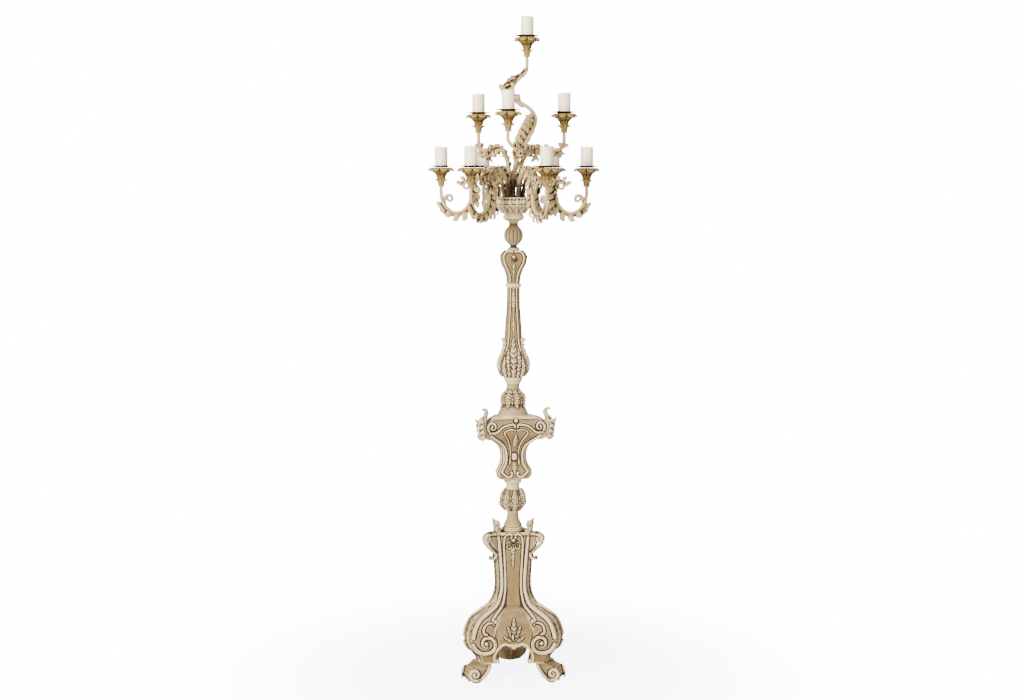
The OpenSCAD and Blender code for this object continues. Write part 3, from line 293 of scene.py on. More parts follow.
def turned_by(points, degrees):
    a = math.radians(degrees)
    spin = np.array([[math.cos(a), math.sin(a), 0], [-math.sin(a), math.cos(a), 0], [0, 0, 1]])
    return points @ spin


def rotated(part, degrees):
    return turned_by(np.array(part[0]), degrees), part[1]


def to_mesh(name, points, faces):
    mesh = bpy.data.meshes.new(name)
    mesh.from_pydata((np.array(points) * MM).tolist(), [], faces)
    mesh.update()
    return mesh


def joined(name, parts):
    """One mesh of several parts."""
    points, faces, n = [], [], 0
    for p, f in parts:
        points.append(np.array(p))
        faces += [[i + n for i in q] for q in f]
        n += len(p)
    return to_mesh(name, np.vstack(points), faces)


def modified(name, parts, kind, fill):
    """Mesh of several parts after one modifier, whose values fill() sets."""
    holder = bpy.data.objects.new(name, joined(name, parts))
    bpy.context.scene.collection.objects.link(holder)
    fill(holder.modifiers.new(name, kind))
    mesh = bpy.data.meshes.new_from_object(holder.evaluated_get(bpy.context.evaluated_depsgraph_get()))
    bpy.data.objects.remove(holder)
    return mesh


def read_array(items, key, width, kind=float):
    values = np.empty(len(items) * width, kind)
    items.foreach_get(key, values)
    return values.reshape(-1, width)


def points_of(mesh):
    return read_array(mesh.vertices, "co", 3) / MM


def edges_of(mesh):
    return read_array(mesh.edges, "vertices", 2, np.int64)


def normals_of(mesh):
    return read_array(mesh.vertex_normals, "vector", 3)


def move_points(mesh, points):
    mesh.vertices.foreach_set("co", (points * MM).ravel())
    mesh.update()


def relaxed(points, edges, rounds, share=0.5):
    """Each point drawn towards its neighbours, some rounds over."""
    n = len(points)
    a, b = edges.T
    degree = np.maximum(np.bincount(edges.ravel(), minlength=n), 1)[:, None]
    p = points.copy()
    for _ in range(rounds):
        total = np.stack([np.bincount(a, p[b, k], n) + np.bincount(b, p[a, k], n) for k in range(p.shape[1])], 1)
        p += share * (total / degree - p)
    return p


def store(mesh, name, values):
    a = mesh.attributes.get(name) or mesh.attributes.new(name, "FLOAT", "POINT")
    a.data.foreach_set("value", np.asarray(values, np.float32))


def finish_piece(name, mesh, material, nodes=(), slot=None, body="root", ivory=0.3, glaze=0.0,
                 rounds=8, depth=0.45, sharp=50):
    """Gives a mesh its hollows, tone and material, and hangs it on its body."""
    e, n, p = edges_of(mesh), normals_of(mesh), points_of(mesh)
    # Concavity at a fine and at a broad scale; the material turns it into glaze and painted shade in the hollows.
    fine = ((relaxed(p, e, rounds) - p) * n).sum(1) / depth
    broad = ((relaxed(p, e, rounds * 5) - p) * n).sum(1) / (depth * 3)
    store(mesh, "recess", np.clip(0.6 * fine + 0.8 * np.maximum(broad - 0.2, 0), -1, 1))
    store(mesh, "ivory", np.ones(len(p)) * ivory)
    store(mesh, "glaze", np.ones(len(p)) * glaze)
    mesh.polygons.foreach_set("use_smooth", [True] * len(mesh.polygons))
    mesh.set_sharp_from_angle(angle=math.radians(sharp))
    mesh.materials.clear()
    mesh.materials.append(material)
    piece = bpy.data.objects.new(name, mesh)
    bpy.context.scene.collection.objects.link(piece)
    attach(piece, body)
    if nodes:
        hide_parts(*nodes)
    return piece


def fused(parts, voxel=1.5, rounds=3, tighten=0.45):
    """One carved skin round closed parts."""
    def fill(skin):
        skin.mode = "VOXEL"
        skin.voxel_size = voxel * MM

    mesh = modified("rough", parts, "REMESH", fill)
    p, e = points_of(mesh), edges_of(mesh)
    for _ in range(rounds):
        p = relaxed(p, e, 1, 0.6)
        p = relaxed(p, e, 1, -tighten)
    move_points(mesh, p)
    return mesh


def copy_of_node(node):
    """Merged copy of a CAD node's mesh, as a part."""
    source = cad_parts[node].data
    unique, back = np.unique(np.round(points_of(source), 3), axis=0, return_inverse=True)
    back = back.ravel()
    faces = [[int(back[i]) for i in q.vertices] for q in source.polygons]
    return unique, [q for q in faces if len(set(q)) == len(q)]


# ---- Swept parts ----

def frames_along(path, up):
    """Headings, and two directions across, for each point of a 3-D path."""
    t = unit(np.gradient(path, axis=0))
    a = unit(np.cross(np.array(up, float), t))
    return t, a, np.cross(t, a)


def sweep_flat(path, across, up, half, thick, sides=12, ridge=0.5):
    """Closed bar along a path: half-widths along `across` and `up`, and a ridge on top."""
    path = np.array(path, float)
    across, up = (np.broadcast_to(np.array(v, float), path.shape)[:, None] for v in (across, up))
    wide, tall = (np.broadcast_to(v, len(path))[:, None, None] for v in (half, thick))
    angle = 2 * np.pi * np.arange(sides) / sides
    c, s = np.cos(angle), np.sin(angle)
    bump = 1 + ridge * bell(c, 0, 0.28) * (s > 0)
    rings = path[:, None] + across * wide * c[None, :, None] + up * tall * (s * bump)[None, :, None]
    return tube(rings, path[0], path[-1])


def sweep(path, across, thick, up=OVER, sides=12, ridge=0.0):
    """Closed bar along a path, its width square to `up`."""
    _, a, u = frames_along(path, up)
    return sweep_flat(path, a, u, across, thick, sides, ridge)


def round_bar(path, r0, r1, up=OVER, sides=14):
    t = np.linspace(0, 1, len(path))
    r = mix(r0, r1, t) * np.clip(np.minimum(t, 1 - t) * 30, 0.35, 1) ** 0.5
    return sweep(path, r, r, up, sides)


def blade(points, width, thick, up, ridge=0.6, root=0.45, sides=10):
    """Pointed leaflet along a smooth path, widest past its middle."""
    path = smooth_curve(points, 6)
    t = np.linspace(0, 1, len(path))
    shape = np.sin(np.pi * np.clip(t * (1 - root) + root * 0.5, 0, 1)) ** 0.8 * np.clip((1 - t) * 3.2, 0.12, 1)
    return sweep(path, width / 2 * shape, np.maximum(thick / 2 * np.clip((1 - t) * 4, 0.45, 1), 0.9), up, sides, ridge)


def flat_blade(points, up, width, thick, steps=6, ridge=0.7, root=0.5):
    """Pointed leaflet along a smooth path, lying flat against `up`."""
    path = smooth_curve(points, steps)
    t = np.linspace(0, 1, len(path))
    _, side, above = frames_along(path, up)
    shape = (root + (1 - root) * np.sin(np.pi * np.clip(t * 1.1, 0, 1)) ** 0.8) * np.clip((1 - t) * 2.6, 0.1, 1)
    tall = np.maximum(thick / 2 * np.clip((1 - t) * 4, 0.5, 1), 1.0)
    return sweep_flat(path, side, above, width / 2 * shape, tall, 10, ridge)


def ball(centre, r, steps=10):
    angle = np.linspace(-np.pi / 2, np.pi / 2, steps)[1:-1, None]
    ring = (np.pi * np.arange(2 * steps) / steps)[None, :]
    rings = np.stack([np.cos(angle) * np.cos(ring), np.cos(angle) * np.sin(ring), np.sin(angle) + 0 * ring], -1)
    points, faces = tube(rings, [0, 0, -1], [0, 0, 1])
    return points * np.array(r) + np.array(centre), faces


def in_plane(points, y=0.0):
    """[out, up] points of a plane through the axis, towards +X, as 3-D points."""
    p = np.array(points, float)
    return np.stack([p[:, 0], np.full(len(p), y), p[:, 1]], 1)


def acanthus(path, across, width, fingers, reach, droop, thick, first, last, spread, taper):
    """Leaf on a 3-D path: a ribbed midrib with drooping fingers to both sides."""
    shares = np.linspace(0, 1, 40)
    line = along(path, shares)
    across = np.array(across, float)
    t, _, _ = frames_along(line, across)
    up = unit(np.cross(t, across))
    body = np.sin(np.pi * (0.12 + 0.86 * shares)) ** 0.6
    parts = [sweep_flat(line, across, up, width * 0.42 * body, thick * 0.55)]
    for k in range(fingers):
        share = first + (last - first) * k / (fingers - 1)
        i = int(share * 39)
        size = 1 - taper * abs(share - 0.35)
        for side in (-1, 1):
            a, f, u = across * side, t[i], up[i]
            finger = [line[i] - f * 4,
                      line[i] + a * width * 0.42 * size + f * reach * 0.25 + u * thick * 0.5,
                      line[i] + a * width * spread * size + f * reach * 0.55 * size - u * droop * reach * 0.3 * size,
                      line[i] + a * width * (spread + 0.12) * size + f * reach * 0.8 * size - u * droop * reach * size]
            parts.append(flat_blade(finger, u, 0.62 * reach * (last - first) / fingers * 3.4 + 4, thick, root=0.75))
    return parts


def lobe(at, tip, across=OVER, width=17, thick=6, splay=5.0):
    """Pair of broad lobes that leave a bar side by side for their tips."""
    at, tip, across = np.array(at, float), np.array(tip, float), np.array(across, float)
    run = tip - at
    bend = np.cross(run, across) * 0.16 * np.sign(run[0] + 0.01) * (-1 if run[2] < 0 else 1)
    return [flat_blade([at - run * 0.12, at + run * 0.35 + bend + a * splay * 0.8,
                        at + run * 0.72 + bend * 0.8 + a * splay, tip + a * splay * 0.35],
                       a + [0, 0, 0.25], width, thick, root=0.75) for a in (-across, across)]


def half_leaf(path, first, last, count, side, reach, width, splay=5.0, thick=6.0):
    """Overlapping lobes of a leaf that clasps one side of a bar, leaning along it."""
    shares = np.linspace(first, last, count)
    at, ahead = along(path, shares), along(path, np.minimum(shares + 0.02, 1))
    flat = abs(path[:, 1]).max() < 1
    parts = []
    for k in range(count):
        t = unit(ahead[k] - at[k])
        across = np.cross(t, [0, 0, 1.0])
        across = unit(np.array(OVER, float) if flat or np.linalg.norm(across) < 0.4 else across)
        n = np.cross(t, across) * side
        r = reach * (0.6 + 0.4 * math.sin(math.pi * (0.15 + 0.8 * k / (count - 1))))
        for hand in (-1, 1):
            a = across * hand * splay
            parts.append(flat_blade([at[k] - t * 6, at[k] + n * r * 0.45 + t * r * 0.05 + a,
                                     at[k] + n * r * 0.85 + t * r * 0.3 + a * 1.3,
                                     at[k] + n * r * 0.95 + t * r * 0.75 + a * 0.6], across * hand + n * 0.2,
                                    width, thick, root=0.8))
    return parts


def leaf_sheet(path, across, widths, lobes, thick=5.0, cup=0.25, cut=0.55):
    """Broad leaf along a midrib in space, lying square to `across`, its edge cut into lobes.

    widths are the reaches to the two sides; the edges droop by `cup` of them.
    """
    path = smooth_curve(path, 10) if len(path) < 12 else np.array(path, float)
    shares = np.linspace(0, 1, 16 * lobes + 8)
    line = along(path, shares)
    t, side, up = frames_along(line, across)
    form = np.maximum(np.sin(np.pi * np.clip(0.1 + 0.9 * shares, 0, 1) ** 0.85) ** 0.6, 0.12)
    phase = (shares * lobes) % 1.0
    notch = 1 - cut * (1 - np.clip(phase / 0.75, 0, 1) ** 0.6) - cut * np.clip((phase - 0.8) / 0.2, 0, 1) ** 2
    lean = 9.0 * phase[:, None] * t
    rows = []
    for hand in (1, -1):
        for q in np.linspace(-hand, hand, 17):
            reach = widths[0] if q > 0 else widths[1]
            out = side * (q * reach * form * (1 - abs(q) * (1 - notch)))[:, None]
            rib = 0.35 * math.cos(abs(q) * math.pi * 4) * (1 - abs(q))
            body = thick * (0.5 + 0.5 * (1 - q * q)) * 0.5 + rib
            crease = 0.9 * bell(phase, 0.02, 0.12) * abs(q)
            drop = cup * reach * q * q * form
            rows.append(line + out + lean * abs(q) ** 1.5 + up * (hand * (body - crease) - drop)[:, None])
    return tube(np.stack(rows, 1), line[0], line[-1])


# ---- Node trees ----

class Nodes:
    """Short way to write a node tree."""

    def __init__(self, tree):
        self.tree = tree
        self.link = tree.links.new

    def fill(self, socket, value):
        if isinstance(value, bpy.types.NodeSocket):
            self.link(value, socket)
        else:
            socket.default_value = value

    def add(self, kind, **settings):
        node = self.tree.nodes.new(kind)
        for key, value in settings.items():
            if key.startswith("in_"):
                name = key[3:]
                self.fill(node.inputs[int(name) if name.isdigit() else name.replace("_", " ")], value)
            else:
                setattr(node, key, value)
        return node

    def math(self, operation, a, b=0.0, clamp=False):
        return self.add("ShaderNodeMath", operation=operation, use_clamp=clamp, in_0=a, in_1=b).outputs[0]

    def times(self, a, b, clamp=False):
        return self.math("MULTIPLY", a, b, clamp)

    def plus(self, a, b):
        return self.math("ADD", a, b)

    def blend(self, factor, a, b):
        return self.add("ShaderNodeMix", data_type="RGBA", in_0=factor, in_6=a, in_7=b).outputs[2]

    def spread(self, value, low, high):
        return self.add("ShaderNodeMapRange", interpolation_type="SMOOTHSTEP", in_Value=value,
                        in_From_Min=low, in_From_Max=high).outputs[0]

    def noise(self, vector, scale, detail=4.0, rough=0.55):
        return self.add("ShaderNodeTexNoise", in_Vector=vector, in_Scale=scale, in_Detail=detail,
                        in_Roughness=rough).outputs[0]

    def place(self):
        return self.add("ShaderNodeTexCoord").outputs["Object"]

    def stretched(self, vector, scale):
        return self.add("ShaderNodeMapping", in_Vector=vector, in_Scale=scale).outputs[0]

    def proud(self, recess):
        return self.math("MAXIMUM", self.times(recess, -1.0), 0.0)

    def read(self, name):
        return self.add("ShaderNodeAttribute", attribute_name=name).outputs["Fac"]

    def use(self, tree, **values):
        return self.add("ShaderNodeGroup", node_tree=tree, **values).outputs


def group(name, inputs, outputs, kind="ShaderNodeTree"):
    tree = bpy.data.node_groups.new(name, kind)
    for label, socket_type, value in inputs:
        socket = tree.interface.new_socket(label, in_out="INPUT", socket_type="NodeSocket" + socket_type)
        if value is not None:
            socket.default_value = value
    for label, socket_type in outputs:
        tree.interface.new_socket(label, in_out="OUTPUT", socket_type="NodeSocket" + socket_type)
    n = Nodes(tree)
    return n, n.add("NodeGroupInput").outputs, n.add("NodeGroupOutput").inputs


def ring_group():
    """Copies of the incoming ornament on a circle, each turned to face outwards."""
    n, given, out = group("Ring of ornaments", [
        ("Ornament", "Geometry", None), ("Count", "Int", None), ("Radius", "Float", None), ("Start", "Float", None),
        ("Finish", "Material", None)], [("Ring", "Geometry")], "GeometryNodeTree")
    circle = n.add("GeometryNodeMeshCircle", in_Vertices=given["Count"], in_Radius=given["Radius"])
    step = n.math("DIVIDE", 2 * math.pi, given["Count"])
    turn = n.times(n.add("GeometryNodeInputIndex").outputs[0], step)
    spin = n.add("ShaderNodeCombineXYZ", in_Z=turn)
    copies = n.add("GeometryNodeInstanceOnPoints", in_Points=circle.outputs[0], in_Instance=given["Ornament"],
                   in_Rotation=spin.outputs[0])
    start = n.add("ShaderNodeCombineXYZ", in_Z=given["Start"])
    moved = n.add("GeometryNodeTransform", in_Geometry=copies.outputs[0], in_Rotation=start.outputs[0])
    real = n.add("GeometryNodeRealizeInstances", in_0=moved.outputs[0])
    painted = n.add("GeometryNodeSetMaterial", in_Geometry=real.outputs[0], in_Material=given["Finish"])
    n.link(painted.outputs[0], out[0])
    return n.tree


RING = ring_group()


def ring_of(parts, count, radius, start, material):
    """Part made of closed parts repeated round the axis."""
    values = {"Count": count, "Radius": radius * MM, "Start": math.radians(start), "Finish": material}

    def fill(repeat):
        repeat.node_group = RING
        for item in RING.interface.items_tree:
            if item.name in values:
                repeat[item.identifier] = values[item.name]

    mesh = modified("ornament", parts, "NODES", fill)
    part = points_of(mesh), [list(q.vertices) for q in mesh.polygons]
    bpy.data.meshes.remove(mesh)
    return part


# ---- Shader groups ----

def patina_group():
    """Rubbed ivory paint over golden size, with brown glaze left in the hollows, deepened there by painted shade."""
    # The Glaze input and the Glaze Colour carry painted shade as well as glaze.
    n, given, out = group("Patina", [
        ("Ivory", "Float", 0.3), ("Recess", "Float", 0.0), ("Glaze", "Float", 0.0),
        ("Ivory Colour", "Color", (0.8, 0.72, 0.6, 1)), ("Gold Colour", "Color", (0.5, 0.36, 0.19, 1)),
        ("Glaze Colour", "Color", (0.16, 0.08, 0.025, 1)), ("Rub", "Float", 0.5)],
        [("Colour", "Color"), ("Roughness", "Float"), ("Height", "Float")])
    at = n.place()
    patches, mottle, fine = n.noise(at, 26.0, 5.0), n.noise(at, 120.0, 5.0, 0.65), n.noise(at, 520.0, 3.0)
    streaks = n.noise(n.stretched(at, (150.0, 150.0, 22.0)), 1.0, 4.0)
    proud = n.proud(given["Recess"])
    sunk = n.math("MAXIMUM", given["Recess"], 0.0)
    # golden ground, cloudy and streaked
    cloud = n.spread(n.plus(n.times(patches, 0.55), n.times(mottle, 0.45)), 0.38, 0.64)
    pale_gold = n.blend(0.18, given["Gold Colour"], given["Ivory Colour"])
    ground = n.blend(n.times(cloud, 0.75), given["Gold Colour"], pale_gold)
    # ivory stays where it was meant to be, and on the high spots
    worn = n.times(n.spread(mottle, 0.56, 0.72), given["Rub"])
    ivory = n.plus(given["Ivory"], n.times(proud, 0.8))
    ivory = n.math("SUBTRACT", ivory, n.plus(n.times(worn, 0.5), n.times(sunk, 0.5)), True)
    tint = n.blend(n.times(streaks, 0.25), given["Ivory Colour"], pale_gold)
    colour = n.blend(ivory, ground, tint)
    # glaze settles in hollows and quirks, and painted shade darkens them further
    glaze_and_shade_depth = n.plus(n.times(sunk, 2.0), given["Glaze"])
    glaze_and_shade_depth = n.plus(glaze_and_shade_depth, n.times(n.math("SUBTRACT", mottle, 0.5), 0.7))
    specks = n.times(n.spread(fine, 0.66, 0.78), 0.3)
    n.link(n.blend(n.math("MAXIMUM", n.spread(glaze_and_shade_depth, 0.18, 0.85), specks), colour, given["Glaze Colour"]),
           out["Colour"])
    n.link(n.math("SUBTRACT", n.plus(0.5, n.times(mottle, 0.25)), n.times(ivory, 0.08)), out["Roughness"])
    n.link(n.plus(n.plus(n.times(mottle, 0.6), n.times(fine, 0.25)), n.times(streaks, 0.35)), out["Height"])
    return n.tree


def grain_group():
    """Wood grain: long wavy rings that run up the stem."""
    n, given, out = group("Grain", [("Scale", "Float", 1.0)], [("Grain", "Float"), ("Height", "Float")])
    at = n.place()
    waves = n.add("ShaderNodeTexWave", wave_type="RINGS", rings_direction="Z", in_Scale=given["Scale"],
                  in_Vector=n.stretched(at, (60.0, 60.0, 5.0)), in_Distortion=6.0, in_Detail=3.0).outputs[1]
    pores = n.noise(n.stretched(at, (900.0, 900.0, 60.0)), 1.0, 2.0)
    n.link(n.plus(n.times(waves, 0.7), n.times(pores, 0.3)), out["Grain"])
    n.link(pores, out["Height"])
    return n.tree


def dust_group():
    """A pale film that lies on faces that look up."""
    n, given, out = group("Dust", [("Colour", "Color", None), ("Dust Colour", "Color", (0.75, 0.7, 0.62, 1)),
                                   ("Amount", "Float", 0.2)], [("Colour", "Color")])
    up = n.add("ShaderNodeSeparateXYZ", in_0=n.add("ShaderNodeNewGeometry").outputs["Normal"]).outputs[2]
    film = n.times(n.spread(up, 0.3, 0.95), n.spread(n.noise(n.place(), 90.0), 0.35, 0.65))
    n.link(n.blend(n.times(film, given["Amount"]), given["Colour"], given["Dust Colour"]), out["Colour"])
    return n.tree


def wear_group():
    """Bright metal or paint on proud edges."""
    n, given, out = group("Edge wear", [("Recess", "Float", 0.0), ("Amount", "Float", 0.5)], [("Wear", "Float")])
    patchy = n.spread(n.noise(n.place(), 160.0), 0.4, 0.62)
    n.link(n.times(n.times(n.proud(given["Recess"]), patchy), given["Amount"], True), out["Wear"])
    return n.tree


PATINA, GRAIN, DUST, WEAR = patina_group(), grain_group(), dust_group(), wear_group()


# ---- Materials ----

def material(name, **values):
    """New material, its node writer and its Principled shader."""
    m = bpy.data.materials.new(name)
    m.use_nodes = True
    m.node_tree.nodes.clear()
    n = Nodes(m.node_tree)
    shader = n.add("ShaderNodeBsdfPrincipled", **values)
    n.add("ShaderNodeOutputMaterial", in_Surface=shader.outputs[0])
    return m, n, shader


def bump(n, shader, height, distance, strength=0.5):
    made = n.add("ShaderNodeBump", in_Height=height, in_Distance=distance, in_Strength=strength)
    n.link(made.outputs[0], shader.inputs["Normal"])


def painted_carving(name, ivory, gold, glaze, rub=0.5):
    m, n, shader = material(name, in_Specular_IOR_Level=0.2)
    skin = n.use(PATINA, in_Ivory=n.read("ivory"), in_Recess=n.read("recess"), in_Glaze=n.read("glaze"),
                 in_Ivory_Colour=(*ivory, 1), in_Gold_Colour=(*gold, 1), in_Glaze_Colour=(*glaze, 1), in_Rub=rub)
    n.link(n.use(DUST, in_Colour=skin["Colour"], in_Amount=0.06)[0], shader.inputs["Base Color"])
    n.link(skin["Roughness"], shader.inputs["Roughness"])
    bump(n, shader, skin["Height"], 0.0006, 0.6)
    return m


GLAZE_AND_SHADE = (0.018, 0.007, 0.001)
carved = painted_carving("carved ivory and gold", (0.58, 0.46, 0.275), (0.098, 0.053, 0.006), GLAZE_AND_SHADE)
turned_ivory = painted_carving("rubbed ivory turning", (0.54, 0.43, 0.265), (0.19, 0.115, 0.026), GLAZE_AND_SHADE)
foliage = painted_carving("rubbed foliage", (0.42, 0.31, 0.150), (0.100, 0.055, 0.010), GLAZE_AND_SHADE, 0.7)
gilt_cups = painted_carving("dull gilt cups", (0.31, 0.20, 0.060), (0.085, 0.044, 0.006), (0.014, 0.005, 0.001), 0.7)


def bronze():
    m, n, shader = material("dark patinated bronze", in_Metallic=0.35)
    wear = n.use(WEAR, in_Recess=n.read("recess"), in_Amount=0.8)[0]
    cloud = n.spread(n.noise(n.place(), 70.0, 5.0), 0.35, 0.7)
    dark = n.blend(cloud, (0.018, 0.009, 0.005, 1), (0.050, 0.025, 0.012, 1))
    n.link(n.blend(wear, dark, (0.16, 0.085, 0.035, 1)), shader.inputs["Base Color"])
    n.link(n.plus(0.5, n.times(cloud, 0.25)), shader.inputs["Roughness"])
    bump(n, shader, n.noise(n.place(), 300.0, 3.0), 0.0003)
    return m


def wax():
    m, n, shader = material("ivory wax", in_Subsurface_Weight=0.35, in_Subsurface_Radius=(0.012, 0.008, 0.004),
                            in_Subsurface_Scale=0.6)
    at = n.place()
    cloud = n.spread(n.noise(at, 45.0, 3.0), 0.3, 0.7)
    runs = n.noise(n.stretched(at, (220.0, 220.0, 12.0)), 1.0, 3.0)
    base = n.blend(cloud, (0.91, 0.76, 0.57, 1), (0.95, 0.84, 0.67, 1))
    n.link(n.blend(n.times(runs, 0.25), base, (0.84, 0.69, 0.48, 1)), shader.inputs["Base Color"])
    n.link(n.plus(0.38, n.times(runs, 0.2)), shader.inputs["Roughness"])
    bump(n, shader, n.plus(runs, n.noise(at, 160.0, 3.0)), 0.0004, 0.35)
    return m


def wick_char():
    m, n, shader = material("charred wick", in_Roughness=0.9)
    twist = n.noise(n.stretched(n.place(), (900.0, 900.0, 500.0)), 1.0, 2.0)
    n.link(n.blend(twist, (0.012, 0.010, 0.009, 1), (0.09, 0.075, 0.06, 1)), shader.inputs["Base Color"])
    bump(n, shader, twist, 0.0005)
    return m


def bare_wood():
    m, n, shader = material("bare sawn wood", in_Roughness=0.8)
    grain = n.use(GRAIN, in_Scale=1.4)
    n.link(n.blend(grain["Grain"], (0.20, 0.105, 0.045, 1), (0.36, 0.22, 0.11, 1)), shader.inputs["Base Color"])
    bump(n, shader, grain["Height"], 0.0005)
    return m


def steel():
    m, n, shader = material("dull steel", in_Metallic=1.0)
    spots = n.noise(n.place(), 240.0)
    n.link(n.blend(spots, (0.30, 0.29, 0.28, 1), (0.50, 0.49, 0.47, 1)), shader.inputs["Base Color"])
    n.link(n.plus(0.28, n.times(spots, 0.3)), shader.inputs["Roughness"])
    return m


bronze_skin, wax_skin, wick_skin, wood_skin, steel_skin = bronze(), wax(), wick_char(), bare_wood(), steel()

for node, skin in {"base_core": wood_skin, "arm_block": wood_skin, "tie_rod": steel_skin,
                   "tie_rod_washer": steel_skin, "tie_rod_nut": steel_skin}.items():
    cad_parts[node].data.materials.clear()
    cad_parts[node].data.materials.append(skin)


# ---- Faces of the three-sided bodies ----

def blend_w(z, table):
    zs, ws = zip(*table)
    return np.interp(z, zs, ws)


base_profile = Profile([
    [foot_h, neck_face], [mix(foot_h, belly_h, 0.3), mix(neck_face, belly_face, 0.2)],
    [mix(foot_h, belly_h, 0.65), mix(neck_face, belly_face, 0.8)], [belly_h, belly_face],
    [mix(belly_h, waist_h, 0.22), mix(waist_face, belly_face, 0.95)],
    [mix(belly_h, waist_h, 0.42), mix(waist_face, belly_face, 0.8)],
    [mix(belly_h, waist_h, 0.57), mix(waist_face, belly_face, 0.47)],
    [mix(belly_h, waist_h, 0.7), mix(waist_face, belly_face, 0.19)],
    [waist_h, waist_face], [mix(waist_h, base_h, 0.5), waist_face + 1.5], [base_h, waist_face + 6]])


def base_corner_w(z):
    return blend_w(z, [(belly_h, belly_corner), (mix(belly_h, waist_h, 0.4), belly_corner),
                       (waist_h - 20, waist_corner)])


def base_edge(z):
    return ROOT3 * base_profile.at(z) - base_corner_w(z)


def ped_share(t):
    return ped_z + t * ped_h


ped_profile = Profile([[ped_share(t), d] for t, d in (
    (0, ped_waist + 5), (0.06, ped_waist + 9.5), (0.13, ped_waist + 9), (0.24, ped_waist + 2), (0.36, ped_waist),
    (0.5, ped_waist + 3), (0.6, mix(ped_waist, ped_face, 0.33)), (0.7, mix(ped_waist, ped_face, 0.74)),
    (0.78, mix(ped_waist, ped_face, 0.95)), (0.86, ped_face), (0.93, ped_face - 4), (1, ped_face - 19))])


def ped_corner(z):
    return blend_w(z, [(ped_share(0.5), ped_waist_corner), (ped_share(0.8), ped_corner_w)])


def ped_edge(z):
    return ROOT3 * ped_profile.at(z) - ped_corner(z)


def corner_distance(profile, corner_w, z):
    return 2 * profile.at(z) - corner_w(z) * ROOT3 / 2


def sector(profile, corner_w, z, face_cols, corner_cols, stop, carve):
    """One third of a three-sided body, facing -Y: points [row, column, 3] and its carving."""
    t = np.linspace(0, 1, corner_cols + 1)[1:]
    kind = np.concatenate([-t[::-1] - 1, np.linspace(-1, 1, face_cols), t + 1])[None, :].repeat(len(z), 0)
    z = z if z.ndim == 2 else np.repeat(z[:, None], kind.shape[1], 1)
    d, w = profile.at(z), corner_w(z)
    edge = ROOT3 * d - w
    beyond = np.abs(kind) > 1
    s = np.where(beyond, np.sign(kind) * (edge + (np.abs(kind) - 1) * stop(w)), kind * edge)
    cut = Carving(s, z)
    carve(cut, edge)
    face_p = np.stack([s, -d, z], -1)
    face_n = np.stack([0 * s, 0 * s - 1, -slope(profile.at, z)], -1)
    side = np.sign(s)
    out = np.stack([side * ROOT3 / 2, 0 * s - 0.5, 0 * s], -1)
    across = np.stack([side * 0.5, ROOT3 / 2 + 0 * s, 0 * s], -1)
    corner_p = out * (2 * d - w * ROOT3 / 2)[..., None] + across * (np.abs(s) - edge - w / 2)[..., None]
    corner_p[..., 2] = z
    corner_n = out.copy()
    corner_n[..., 2] = -slope(lambda q: corner_distance(profile, corner_w, q), z)
    normal = mix(unit(face_n), unit(corner_n), ramp(np.abs(s) - edge, -1.5, 1.5)[..., None])
    return np.where(beyond[..., None], corner_p, face_p) + normal * cut.height()[..., None], cut


def three_sided(node, profile, corner_w, z0, z1, rows, face_cols, corner_cols, carve, turn, rounds):
    """Whole three-sided body as one closed skin."""
    rows_z = profile.spread(z0, z1, np.linspace(0, 1, rows))
    p, cut = sector(profile, corner_w, rows_z, face_cols, corner_cols, lambda w: w / 2, carve)
    rings = np.concatenate([turned_by(p[:, :-1], turn + 120 * k) for k in range(3)], 1)
    ivory, glaze = (np.tile(tone[:, :-1], (1, 3)).ravel() for tone in (cut.ivory, cut.glaze))
    finish_piece(node + "_carved", to_mesh(node, *tube(rings, [0, 0, z0], [0, 0, z1])), carved, [node], "carved_wood",
                 ivory=np.append(ivory + 0.1, [0.2, 0.2]), glaze=np.append(glaze, [0, 0]), rounds=rounds)


def thirds(piece, *turns):
    """Names of a piece's three copies with the corner or face that each stands on."""
    return [(piece + "_" + side, turn) for side, turn in zip(("right", "rear", "left"), turns)]


# ---- Base ----

apron_heights = [(0, belly_h - 31), (9, belly_h - 24), (24, belly_h - 18), (38, belly_h - 23),
                 (50, belly_h - 38), (55, belly_h - 53), (56.5, foot_h + 12), (57.5, foot_h), (400, foot_h)]
volute_eye = (belly_face - 18, belly_h - 12)
frame_start = mix(belly_h, waist_h, 0.05)
moulding_w = 8


def edge_line(z0, z1, inset):
    z = np.linspace(z0, z1, 40)
    return np.stack([base_edge(z) - inset, z], 1)


def fan(c, centre, step, reach, width, lift, ivory):
    """Shell of seven leaves that hangs from a point."""
    for k in range(-3, 4):
        a = math.radians(step * k)
        tip = centre + reach * np.array([math.sin(a), -math.cos(a)])
        c.leaf([centre, (centre + tip) / 2, tip], width, lift, 1, ivory, curl=0.5)


outer_rail = edge_line(base_h - 9, frame_start, moulding_w * 0.5)
volute = spiral((volute_eye[0] - 2, volute_eye[1]), 44, 9, -5, -455, 90)
top_arch = smooth_curve([[7, inner_top + 27], [4.5, inner_top + 34], [10, inner_top + 39.5], [20, inner_top + 37],
                         [28, inner_top + 25], [0.63 * base_edge(inner_top), inner_top]])
share_line = np.linspace(0, 1, 30)
shaft_z = mix(inner_top, belly_h + 58, share_line)
inner_frame = np.vstack([top_arch, np.stack([mix(0.63, 0.6, share_line) * base_edge(shaft_z), shaft_z], 1),
                         spiral((belly_face * 0.615 - 5, belly_h + 58), 6, 3, 0, -200, 12)])
small_scroll = smooth_curve([[belly_face - 43, belly_h + 46], [belly_face - 38, belly_h + 51],
                             [belly_face - 27, belly_h + 52], [belly_face - 16, belly_h + 46],
                             [belly_face - 10, belly_h + 34], [belly_face - 11, belly_h + 22],
                             [belly_face - 18, belly_h + 17]])


